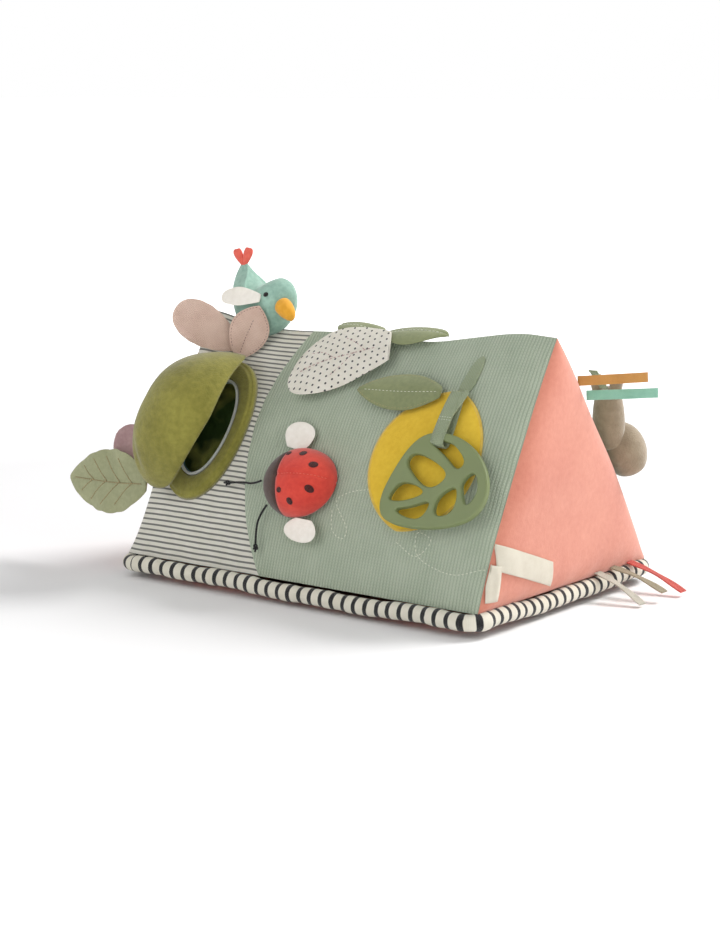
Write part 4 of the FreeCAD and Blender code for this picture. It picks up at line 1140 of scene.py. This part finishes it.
def ribbon_loop(name, profile, along, across, origin, width, thick, material, closed):
    """A tape of even width along a line in the plane of two axes, given in millimetres."""
    profile = np.asarray(profile, float)
    ahead = np.gradient(profile, axis=0)
    if closed:
        ahead = np.roll(profile, -1, 0) - np.roll(profile, 1, 0)
    ahead = ahead / np.linalg.norm(ahead, axis=1)[:, None]
    off = np.stack([-ahead[:, 1], ahead[:, 0]], 1)
    sides = np.array([(-1, -1), (-0.5, -1.05), (0, -1.1), (0.5, -1.05), (1, -1),
                      (1, 1), (0.5, 1.05), (0, 1.1), (-0.5, 1.05), (-1, 1)], float)
    side = np.cross(along, across)
    place = (origin + profile[:, None, :1] * along + profile[:, None, 1:] * across
             + sides[None, :, 1:] * thick / 2 * (off[:, None, :1] * along + off[:, None, 1:] * across)
             + sides[None, :, :1] * width / 2 * side)
    run = np.concatenate([[0], np.cumsum(np.linalg.norm(np.diff(profile, axis=0), axis=1))])
    cut = np.stack(np.broadcast_arrays(
        run[:, None], np.append(sides[:, 0], sides[0, 0])[None, :] * width / 2), -1)
    if closed:
        place = np.concatenate([place, place[:1]])
        cut = np.concatenate([cut, cut[-1:] + [[1.0, 0]]])
    piece = cloth_mesh(name, place * MM, cut * MM, material, ring=True,
                       poles=(False, False))
    sewn = bmesh.new()
    sewn.from_mesh(piece.data)
    bmesh.ops.remove_doubles(sewn, verts=sewn.verts, dist=1e-6)
    if not closed:
        bmesh.ops.holes_fill(sewn, edges=[edge for edge in sewn.edges if edge.is_boundary], sides=0)
    bmesh.ops.recalc_face_normals(sewn, faces=sewn.faces)
    sewn.to_mesh(piece.data)
    sewn.free()
    return piece


strap_profile = eased(np.array([(3.4, 11.9), (20, 11.9), (44, 12.0), (47, 13.4), (36, 16.6), (24, 18.9),
                                (12, 20.4), (3.4, 20.4)], float), 3)
strap = ribbon_loop("teether_strap_tape", strap_profile, front.up, front.out,
                    front.middle + 98 * front.along, 10.5, 1.0, sage_tape, closed=True)
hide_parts("teether_strap")
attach(strap, "strap")
cross_rows = [front.flat(np.linspace(93.8, 102.2, 12), v, w) for v, w in ((24.5, 19.5), (22.5, 19.6))]
sew("strap_tack", cross_rows, front.out, pale_thread, "strap",
    spacing=1.8, length=1.3, thread=0.45)

# One side of the tape is folded over on its way down, and shows as a narrow second strand.
fold_rim = eased(np.array([(103.5, 47), (108, 46), (106, 36), (101, 21), (97.5, 22), (101.5, 36)], float), 3)
FOLD_FOOT = 22
FOLD_SLOPE = 0.12
strap_fold = polar("strap_fold_tape", fold_rim, fold_rim.mean(0),
                   lambda r, x, y: 9.4 - 0.3 * r ** 4 - FOLD_SLOPE * (y - FOLD_FOOT),
                   lambda r, x, y: 8.2 - FOLD_SLOPE * (y - FOLD_FOOT), on_front, sage_tape, rings=8)
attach(strap_fold, "strap")

silicone = bpy.data.materials.new("silicone")
silicone.use_nodes = True
silicone_shader = silicone.node_tree.nodes["Principled BSDF"]
cloudy = add(silicone.node_tree, "ShaderNodeTexNoise",
             {"Vector": add(silicone.node_tree, "ShaderNodeTexCoord").outputs["Object"], "Scale": 60.0})
silicone_mix = add(silicone.node_tree, "ShaderNodeMix",
                   {0: cloudy.outputs[0], 6: dyed(116, 128, 84), 7: dyed(128, 141, 96)}, data_type="RGBA")
silicone.node_tree.links.new(silicone_mix.outputs[2], silicone_shader.inputs["Base Color"])
matt = add(silicone.node_tree, "ShaderNodeMapRange", {0: cloudy.outputs[0], 3: 0.42, 4: 0.55})
silicone.node_tree.links.new(matt.outputs[0], silicone_shader.inputs["Roughness"])
silicone_shader.inputs["Subsurface Weight"].default_value = 0.15
silicone_shader.inputs["Subsurface Radius"].default_value = (0.004, 0.004, 0.002)
silicone_shader.inputs["Subsurface Scale"].default_value = 0.5

TEETHER_THICK = 5.0
TEETHER_ROUND = 1.4
teether_edge = [(-31, -54), (-28, -34), (-19, -9), (-4, 2), (24, -1), (46, -17), (56, -38), (50, -57),
                (27, -67), (0, -70), (-24, -67)]
teether_holes = [
    [(-5, -6), (12, -4.5), (23, -11), (30, -19), (25, -25), (13, -16), (3, -10.5)],
    [(-19, -23), (-14, -15), (5, -20), (19, -28), (14, -37), (5, -40), (-8, -33)],
    [(-25, -52), (-19, -38), (-6, -38), (5, -43), (-2, -48), (-14, -52)],
    [(-17, -58), (-4, -55), (11, -48), (11, -56), (6, -63), (-6, -62.5)],
    [(16, -44), (28, -35), (32, -45), (31, -55), (22, -59), (16, -56)],
    [(31, -32), (39, -23), (46, -34), (45, -44), (40, -49), (35, -41)],
]
cut_out = bpy.data.curves.new("teether_cut", "CURVE")
cut_out.dimensions = "2D"
cut_out.fill_mode = "BOTH"
cut_out.extrude = (TEETHER_THICK / 2 - TEETHER_ROUND) * MM
cut_out.bevel_depth = TEETHER_ROUND * MM
cut_out.bevel_resolution = 4
cut_out.offset = -TEETHER_ROUND * MM
outlines = [eased(np.array(teether_edge, float), 4)]
outlines += [eased(np.array(hole, float), 3)[::-1] for hole in teether_holes]
for outline in outlines:
    spline = cut_out.splines.new("POLY")
    spline.points.add(len(outline) - 1)
    spline.use_cyclic_u = True
    for spot, (x, y) in zip(spline.points, outline):
        spot.co = (x * MM, y * MM, 0, 1)
cut_object = bpy.data.objects.new("teether_cut", cut_out)
bpy.context.scene.collection.objects.link(cut_object)
teether_mesh = plain_mesh(cut_object)
bpy.data.objects.remove(cut_object)
flat_points = np.array([vertex.co for vertex in teether_mesh.vertices])
teether_at = placed(front.flat(96, 12, 15.4) / MM, front.along, front.up)
raised_by = flat_points[:, 2] / MM + TEETHER_THICK / 2
teether_mesh.vertices.foreach_set("co", teether_at(flat_points[:, 0] / MM, flat_points[:, 1] / MM,
                                                   raised_by).astype(np.float32).ravel())
teether = show(teether_mesh, "teether_leaf_moulded", silicone)
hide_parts("teether_leaf")
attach(teether, "teether")


# ---------------------------------------------------------------- the ladybird
# A stuffed half-round of red velour with a brown head, quilted down the middle, with embroidered
# spots and two felt wings. A rattle sits in its wadding.

red_velour = cloth("red_velour", dyed(226, 80, 64), dyed(198, 56, 48), nap, 0.0012, 0.0003, fuzz=0.35,
                   by_cut=False)
brown_velour = cloth("brown_velour", dyed(92, 72, 66), dyed(66, 50, 46), nap, 0.0011, 0.0003, fuzz=0.3,
                     by_cut=False)
white_felt = cloth("white_felt", dyed(250, 246, 238), dyed(234, 228, 217), nap, 0.0013, 0.0005, fuzz=0.4,
                   by_cut=False)
spot_thread = cloth("spot_thread", dyed(84, 30, 28), dyed(54, 20, 20), weave, 0.0006, 0.0003, by_cut=False)
red_thread = cloth("red_thread", dyed(238, 120, 98), dyed(214, 88, 72), weave, 0.0004, 0.0001, by_cut=False)
LADY_TURN = math.radians(188)
LADY_HALF = (30.0, 26.0)
LADY_RISE = 23.0
LADY_NECK = 9.0
lady_x = math.cos(LADY_TURN) * front.along + math.sin(LADY_TURN) * front.up
lady_y = -math.sin(LADY_TURN) * front.along + math.cos(LADY_TURN) * front.up
lady_origin = front.flat(-12, -35, 10.2) / MM
on_lady = placed(lady_origin, lady_x, lady_y)


def lady_height(x, y):
    """The stuffed back: a full dome, nipped in at the neck seam and along the quilting."""
    share = np.clip(1 - (x / LADY_HALF[0]) ** 2 - (y / LADY_HALF[1]) ** 2, 0, 1)
    dome = LADY_RISE * share ** 0.46
    nip = 1.6 * np.exp(-((x - LADY_NECK) / 1.6) ** 2) + 1.0 * np.exp(-(y / 1.3) ** 2) * (x < LADY_NECK)
    pucker = 0.25 * np.sin(x / 1.5) * np.exp(-np.abs(y) / 3.5) * (x < LADY_NECK)
    return dome - (nip + pucker) * share ** 0.3


def lady_part(name, low, high, material, rows=44, columns=72):
    """The part of the dome between two stations along the ladybird, closed all round."""
    turn = np.linspace(-math.pi / 2, math.pi / 2, rows)[:, None]
    middle, half = (low + high) / 2, (high - low) / 2
    x = middle + half * np.sin(turn)
    reach = LADY_HALF[1] * np.sqrt(np.clip(1 - (x / LADY_HALF[0]) ** 2, 0, 1))
    angle = np.linspace(0, 2 * math.pi, columns + 1)[None, :]
    y = reach * np.cos(angle)
    z = np.where(np.sin(angle) > 0, lady_height(x + 0 * y, y), 0.4 + 0 * y)
    x = x + 0 * y
    return cloth_mesh(name, on_lady(x, y, z)[:, :-1], np.stack([x, y], -1) * MM, material, ring=True,
                      poles=(True, True))


shell = lady_part("ladybird_back_stuffed", -LADY_HALF[0], LADY_NECK, red_velour)
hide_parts("ladybird_shell", "ladybird_stuffing", "rattle_capsule", "rattle_beads", "ladybird_base")
head = lady_part("ladybird_head_stuffed", LADY_NECK, LADY_HALF[0], brown_velour, rows=24)
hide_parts("ladybird_head")
for piece, slot in ((shell, "red_velour"), (head, "brown_velour")):
    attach(piece, "ladybird")

spot_places = [(-8, -17, 2.3), (4, -17, 1.9), (-19, -8, 2.6), (-19, 10, 2.6), (-4, 19, 2.1),
               (4, 12, 1.9)]
spot_mesh = bmesh.new()
for x0, y0, radius in spot_places:
    dot = polar("spot", oval_rim(radius * 1.1, radius, 28), (0, 0), lambda r, x, y: 0.55 - 0.25 * r ** 4,
                lambda r, x, y: -0.3 + 0 * r,
                lambda x, y, z: on_lady(x + x0, y + y0, lady_height(x + x0, y + y0) + z),
                spot_thread, rings=5)
    spot_mesh.from_mesh(dot.data)
    bpy.data.objects.remove(dot)
spots_data = bpy.data.meshes.new("spots")
spot_mesh.to_mesh(spots_data)
spot_mesh.free()
spots_piece = show(spots_data, "ladybird_spots", spot_thread)
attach(spots_piece, "ladybird")

quilt_x = np.linspace(-27, 8, 60)
sew("ladybird_quilting", [on_lady(quilt_x, 0 * quilt_x, lady_height(quilt_x, 0 * quilt_x) + 0.2)], front.out,
    red_thread, "ladybird", spacing=2.6, length=1.9, thread=0.5)

for name, root, tip, width in (("ladybird_wing_upper", (-27, -10.8, 12.2), (-23, 10, 12.2), 27),
                               ("ladybird_wing_lower", (1, -60.8, 11.2), (0, -77.5, 8.4), 29)):
    shape = Leaf(front.flat(*root) / MM, front.flat(*tip) / MM, front.out, width, thick=2.2, widest=0.55,
                 blunt=0.45, cup=1.5, tab=14)
    piece = shape.mesh(f"{name}_felt", white_felt, columns=60)
    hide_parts(name)
    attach(piece, name)


# ---------------------------------------------------------------- running stitches on the play face
# Two looping flight paths in pale thread, one from the ladybird to the lemon and one past it.

flight_paths = [[(19, -51), (23, -64), (33, -69), (35, -61), (21, -44), (30, -36), (46, -32)],
                [(81, -66), (98, -73), (108, -61), (96, -57), (98, -70), (109, -77), (132, -81), (154, -74)]]
lines = []
for spots_uv in flight_paths:
    u, v = path(spots_uv, 14).T
    lines.append(dressed(front, u, v, 0.45))
sew("flight_paths", lines, front.out, pale_thread, "cushion",
    spacing=3.2, length=2.1, thread=0.7)


# ---------------------------------------------------------------- the bird
# A small stuffed bird in teal velour sits over the ridge, its tail up with a coral tuft on it, a
# drooping ochre beak, and a felt wing on each side.

teal_velour = cloth("teal_velour", dyed(164, 200, 185), dyed(118, 154, 139), nap, 0.0011, 0.0003,
                    fuzz=0.35, by_cut=False)
beak_velour = cloth("beak_velour", dyed(238, 178, 62), dyed(214, 148, 38), nap, 0.0011, 0.0003, by_cut=False)
coral_felt = cloth("coral_felt", dyed(232, 108, 92), dyed(208, 84, 72), nap, 0.0012, 0.0004, by_cut=False)
BIRD_Y = -17.0
BIRD_SHIFT = np.array([5.0, 11.0])
bird_outline = BIRD_SHIFT + path([(-132, 220), (-126, 220), (-120, 210), (-111, 205), (-101, 209), (-92, 211),
                                  (-84, 207), (-80, 199), (-80, 190), (-84, 181), (-91, 173), (-101, 167),
                                  (-112, 165), (-123, 168), (-132, 176), (-137, 187), (-138, 199),
                                  (-137, 211), (-132, 220)], 7)[:-1]
BIRD_MIDDLE = (-105.0, 200.0)


def in_bird(x, z, depth):
    """A point by the bird's side view, depth towards the player."""
    x, z, depth = (np.asarray(value, float) for value in (x, z, depth))
    return np.stack([x, BIRD_Y - depth, z], -1) * MM


def bird_depth(r, x, z):
    """Half the bird's thickness: full at the breast, slimmer up the tail."""
    slim = 1 - 0.72 * ramp(z, 211, 230) * ramp(-x, 103, 121)
    return 16.0 * np.clip(1 - r ** 2.2, 0, 1) ** 0.55 * slim


bird = polar("bird_body_stuffed", bird_outline, BIRD_MIDDLE, bird_depth, lambda r, x, z: -bird_depth(r, x, z),
             in_bird, teal_velour, rings=26)
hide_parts("bird_body", "bird_squeaker")
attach(bird, "bird")


def loft(name, stations, across, material, columns=40, ease=4):
    """A stuffed form along a line of stations (place, half across, half upright), closed at both ends."""
    stations = [np.array([*place, a, b], float) for place, a, b in stations]
    smooth = path(np.array(stations), ease)
    centres, halves = smooth[:, :3], np.maximum(smooth[:, 3:], 0.02)
    ahead = np.gradient(centres, axis=0)
    ahead = ahead / np.linalg.norm(ahead, axis=1)[:, None]
    side = np.asarray(across, float) - (ahead @ np.asarray(across, float))[:, None] * ahead
    side = side / np.linalg.norm(side, axis=1)[:, None]
    upright = np.cross(ahead, side)
    turn = np.linspace(0, 2 * math.pi, columns + 1)[None, :, None]
    points = centres[:, None] + halves[:, None, :1] * np.cos(turn) * side[:, None] \
        + halves[:, None, 1:] * np.sin(turn) * upright[:, None]
    run = np.concatenate([[0], np.cumsum(np.linalg.norm(np.diff(centres, axis=0), axis=1))])
    cut = np.stack(np.broadcast_arrays(run[:, None], turn[..., 0] * halves.max()), -1)
    return cloth_mesh(name, points[:, :-1] * MM, cut * MM, material, ring=True, poles=(True, True))


beak = loft("bird_beak_stuffed", [((-83, -24, 204), 0.1, 0.1), ((-81.5, -24.5, 203), 5.5, 6.0),
                                  ((-77, -26, 200.5), 6.5, 6.6), ((-72, -27.5, 197), 5.0, 5.6),
                                  ((-69.5, -28, 193.5), 2.8, 3.4), ((-68.8, -28.2, 191.5), 0.1, 0.1)],
            (0, 1, 0), beak_velour)
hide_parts("bird_beak")
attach(beak, "bird")

tuft_mesh = bmesh.new()
for lean, reach in ((-7.5, 11), (6.5, 12.5)):
    lobe = loft("lobe", [((-124.5, BIRD_Y, 229), 0.1, 0.1), ((-124.5 + lean * 0.15, BIRD_Y, 231), 1.6, 1.8),
                         ((-124.5 + lean * 0.6, BIRD_Y - 0.5, 231 + reach * 0.55), 1.8, 4.0),
                         ((-124.5 + lean * 0.95, BIRD_Y - 0.5, 231 + reach * 0.9), 1.6, 3.4),
                         ((-124.5 + lean, BIRD_Y - 0.5, 231 + reach), 0.1, 0.1)], (0, 1, 0), coral_felt,
                columns=20)
    tuft_mesh.from_mesh(lobe.data)
    bpy.data.objects.remove(lobe)
tuft_data = bpy.data.meshes.new("tuft")
tuft_mesh.to_mesh(tuft_data)
tuft_mesh.free()
tuft = show(tuft_data, "bird_tuft_stuffed", coral_felt)
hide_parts("bird_tuft")
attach(tuft, "bird")

for name, side in (("bird_wing_near", -1), ("bird_wing_far", 1)):
    shape = Leaf((-95, -15 + 17 * side, 207), (-130, -15 + 20.5 * side, 207), (0, 0.85 * side, 0.5), 15,
                 thick=2.4, widest=0.62, blunt=0.4, cup=1.5, wave=0.8, waves=3, tab=6)
    piece = shape.mesh(f"{name}_felt", white_felt, columns=40)
    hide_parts(name)
    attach(piece, name)

eye_thread = cloth("eye_thread", dyed(40, 36, 36), dyed(22, 20, 20), weave, 0.0005, 0.0002, by_cut=False)


def on_bird(x, z, lift):
    """A point on the bird's near side."""
    x, z = np.asarray(x, float), np.asarray(z, float)
    aside = np.hypot((x - BIRD_MIDDLE[0]) / 31, (z - BIRD_MIDDLE[1]) / 24)
    return in_bird(x, z, bird_depth(np.clip(aside, 0, 1), x, z) + lift)


EYE_MIDDLE = np.array([-91.5, 210.5])
eye = polar("bird_eye", EYE_MIDDLE + oval_rim(1.7, 1.7, 20), EYE_MIDDLE, lambda r, x, z: 2.0 - 0.5 * r ** 2,
            lambda r, x, z: -0.6 + 0 * r, on_bird, eye_thread, rings=4)
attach(eye, "bird")


# ---------------------------------------------------------------- ribbons and labels
# Short folded ribbons in five satins are caught in the back seam and the base seam. Two woven tabs
# without lettering are sewn to the right-hand end.

def satin(name, light, dark):
    return cloth(name, dyed(*light), dyed(*dark), weave, 0.0009, 0.0003, rough=0.45, fuzz=0.1)


def hanging_strip(name, root, tip, face, width, thick, sag, material, sway=0.0, rows=30):
    """A strip from its root to its tip that sags between, with thickened woven edges."""
    root, tip = np.asarray(root, float), np.asarray(tip, float)
    ahead = unit(tip - root)
    across = unit(np.cross(face, ahead))
    up = np.cross(ahead, across)
    length = np.linalg.norm(tip - root)
    share = np.linspace(0, 1, rows)[:, None]
    columns = np.array([(-1, 0), (-0.97, 1), (-0.85, 0.75), (0, 0.7), (0.85, 0.75), (0.97, 1), (1, 0),
                        (0.97, -1), (0.85, -0.75), (0, -0.7), (-0.85, -0.75), (-0.97, -1)])
    y = columns[None, :, 0] * width / 2 + sway * np.sin(share * math.pi)
    z = (columns[None, :, 1] * thick / 2 + sag * np.sin(share * math.pi)
         + 0.4 * np.sin(share * 9) * columns[None, :, 0])
    x = share * length + 0 * y
    place = placed(root, ahead, across)
    points = place(x, y, z + thick / 2)
    cut = np.stack([np.hstack([x, x[:, :1]]), np.hstack([y, y[:, :1]])], -1) * MM
    piece = cloth_mesh(name, points, cut, material, ring=True)
    closed = bmesh.new()
    closed.from_mesh(piece.data)
    bmesh.ops.holes_fill(closed, edges=[edge for edge in closed.edges if edge.is_boundary], sides=0)
    bmesh.ops.recalc_face_normals(closed, faces=closed.faces)
    closed.to_mesh(piece.data)
    closed.free()
    return piece


ribbon_list = [
    ("ribbon_ochre", (156, 13, 161), (192, 48, 163), (0.7, -0.7, 0.1), 1.5, (220, 162, 90), (198, 138, 68)),
    ("ribbon_mint", (156, 25, 149.5), (193, 61, 150.5), (0.7, -0.7, 0.1), 1.5,
     (160, 216, 192), (132, 194, 168)),
    ("ribbon_coral", (155, 84, 20), (206, 82, 3.6), (0.3, 0, 0.95), 2.0, (226, 100, 88), (202, 76, 68)),
    ("ribbon_taupe", (155, 60, 20), (204, 58, 7.5), (0.3, 0, 0.95), 2.0, (176, 166, 140), (152, 142, 116)),
    ("ribbon_cream", (155, 40, 20), (199, 36, 2.0), (0.3, 0, 0.95), 2.0, (212, 210, 196), (192, 190, 174)),
]
for name, root, tip, face, sag, light, dark in ribbon_list:
    material = satin(name.split("_")[1] + "_satin", light, dark)
    piece = hanging_strip(f"{name}_folded", root, tip, face, 7.0, 0.9, sag, material)
    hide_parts(name)
    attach(piece, name)

label_cloth = cloth("label_cloth", dyed(240, 234, 216), dyed(226, 218, 198), weave, 0.0006, 0.0002, rough=0.7)


def on_end(side, y, z, lift):
    """The point on an end panel at this depth and height, lift above its cloth."""
    y, z, lift = np.broadcast_arrays(*(np.asarray(value, float) for value in (y, z, lift)))
    climb = np.linspace(0, 1, 80)
    near = end_point(side, 0.0, climb) / MM
    far = end_point(side, 1.0, climb) / MM
    share_up = np.interp(z, near[:, 2], climb)
    low, high = np.interp(z, near[:, 2], near[:, 1]), np.interp(z, far[:, 2], far[:, 1])
    return end_point(side, np.clip((y - low) / (high - low), 0, 1), share_up, lift)


def tab(name, corners, lift, material):
    """A woven tab over four corners (y, z), sewn down on the right-hand end."""
    corners = np.array(corners, float)
    run = np.linspace(0, 1, 50)[None, :, None]
    rise = np.linspace(0, 1, 16)[:, None, None]
    flat = ((1 - run) * ((1 - rise) * corners[0] + rise * corners[3])
            + run * ((1 - rise) * corners[1] + rise * corners[2]))
    edges = (np.minimum(np.minimum(run, 1 - run)[..., 0] * 6, 1)
             * np.minimum(np.minimum(rise, 1 - rise)[..., 0] * 3, 1))
    points = on_end(1, flat[..., 0], flat[..., 1],
                    lift + 0.5 * edges + 0.25 * np.sin(run[..., 0] * 11) * edges)
    piece = cloth_mesh(name, points, flat * MM, material, out=(1, 0, 0))
    solid = piece.modifiers.new("thickness", "SOLIDIFY")
    solid.thickness = 0.8 * MM
    solid.offset = 1.0
    solid_mesh = plain_mesh(piece)
    bpy.data.objects.remove(piece)
    return show(solid_mesh, name, material)


woven_label = tab("woven_label_sewn", [(-92, 44), (-27, 22), (-29, 40), (-90, 62)], 0.5, label_cloth)
care_label = tab("care_label_sewn", [(-104, 24), (-94, 24), (-89, 47), (-98, 49)], 1.6, label_cloth)
for piece, name in ((woven_label, "woven_label"), (care_label, "care_label")):
    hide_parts(name)
    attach(piece, name)


# ---------------------------------------------------------------- the hanging animal
# A little taupe plush animal hangs head down from a tape loop in the back seam.

taupe_plush = cloth("taupe_plush", dyed(164, 148, 124), dyed(134, 117, 96), nap, 0.0016, 0.0008, fuzz=0.5,
                    by_cut=False)
body = loft("animal_body_stuffed",
            [((149, 65, 150), 0.1, 0.1), ((149, 65.5, 148), 7, 8), ((149, 67, 137), 10.5, 11),
             ((149, 68, 123), 11, 12), ((149.5, 70, 114), 9.5, 10.5),
             ((150, 73, 108), 8, 9), ((150, 75, 105), 0.1, 0.1)],
            (0, 1, 0), taupe_plush)
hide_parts("animal_body")
head = loft("animal_head_stuffed",
            [((147, 71, 120), 0.1, 0.1), ((147.5, 73, 118), 8, 9), ((151, 79, 110), 15, 16),
             ((154, 83, 100), 16, 17), ((157, 86, 91), 12.5, 13.5),
             ((158, 88, 87), 7, 8), ((158.5, 88.5, 85.5), 0.1, 0.1)],
            (0, 1, 0), taupe_plush)
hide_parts("animal_head")
feet_mesh = bmesh.new()
for side in (-1, 1):
    foot = loft("foot", [((149 + 7 * side, 64, 145), 0.1, 0.1), ((149 + 7.4 * side, 64, 147), 3.6, 3.8),
                         ((149 + 8 * side, 64, 154), 4.6, 4.8), ((149 + 8.4 * side, 64, 158.5), 3.2, 3.4),
                         ((149 + 8.5 * side, 64, 160), 0.1, 0.1)], (0, 1, 0), taupe_plush, columns=24)
    feet_mesh.from_mesh(foot.data)
    bpy.data.objects.remove(foot)
feet_data = bpy.data.meshes.new("feet")
feet_mesh.to_mesh(feet_data)
feet_mesh.free()
feet = show(feet_data, "animal_feet_stuffed", taupe_plush)
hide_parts("animal_feet")
loop_tape = hanging_strip("animal_loop_tape", (149, 44, 164), (149, 60, 149.5), (0, 0.6, 0.8), 7, 1.2, 0.5,
                          sage_tape)
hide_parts("animal_loop")
for piece, slot in ((body, "taupe_plush"), (head, "taupe_plush"), (feet, "taupe_plush"),
                    (loop_tape, "sage_tape")):
    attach(piece, "animal")
animal_eye = loft("animal_eye", [((167.2, 80, 102.5), 0.1, 0.1), ((167.4, 79.8, 102.5), 1.2, 1.2),
                                 ((168.2, 79.2, 102.5), 0.1, 0.1)], (0, 0, 1), eye_thread, columns=16)
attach(animal_eye, "animal")
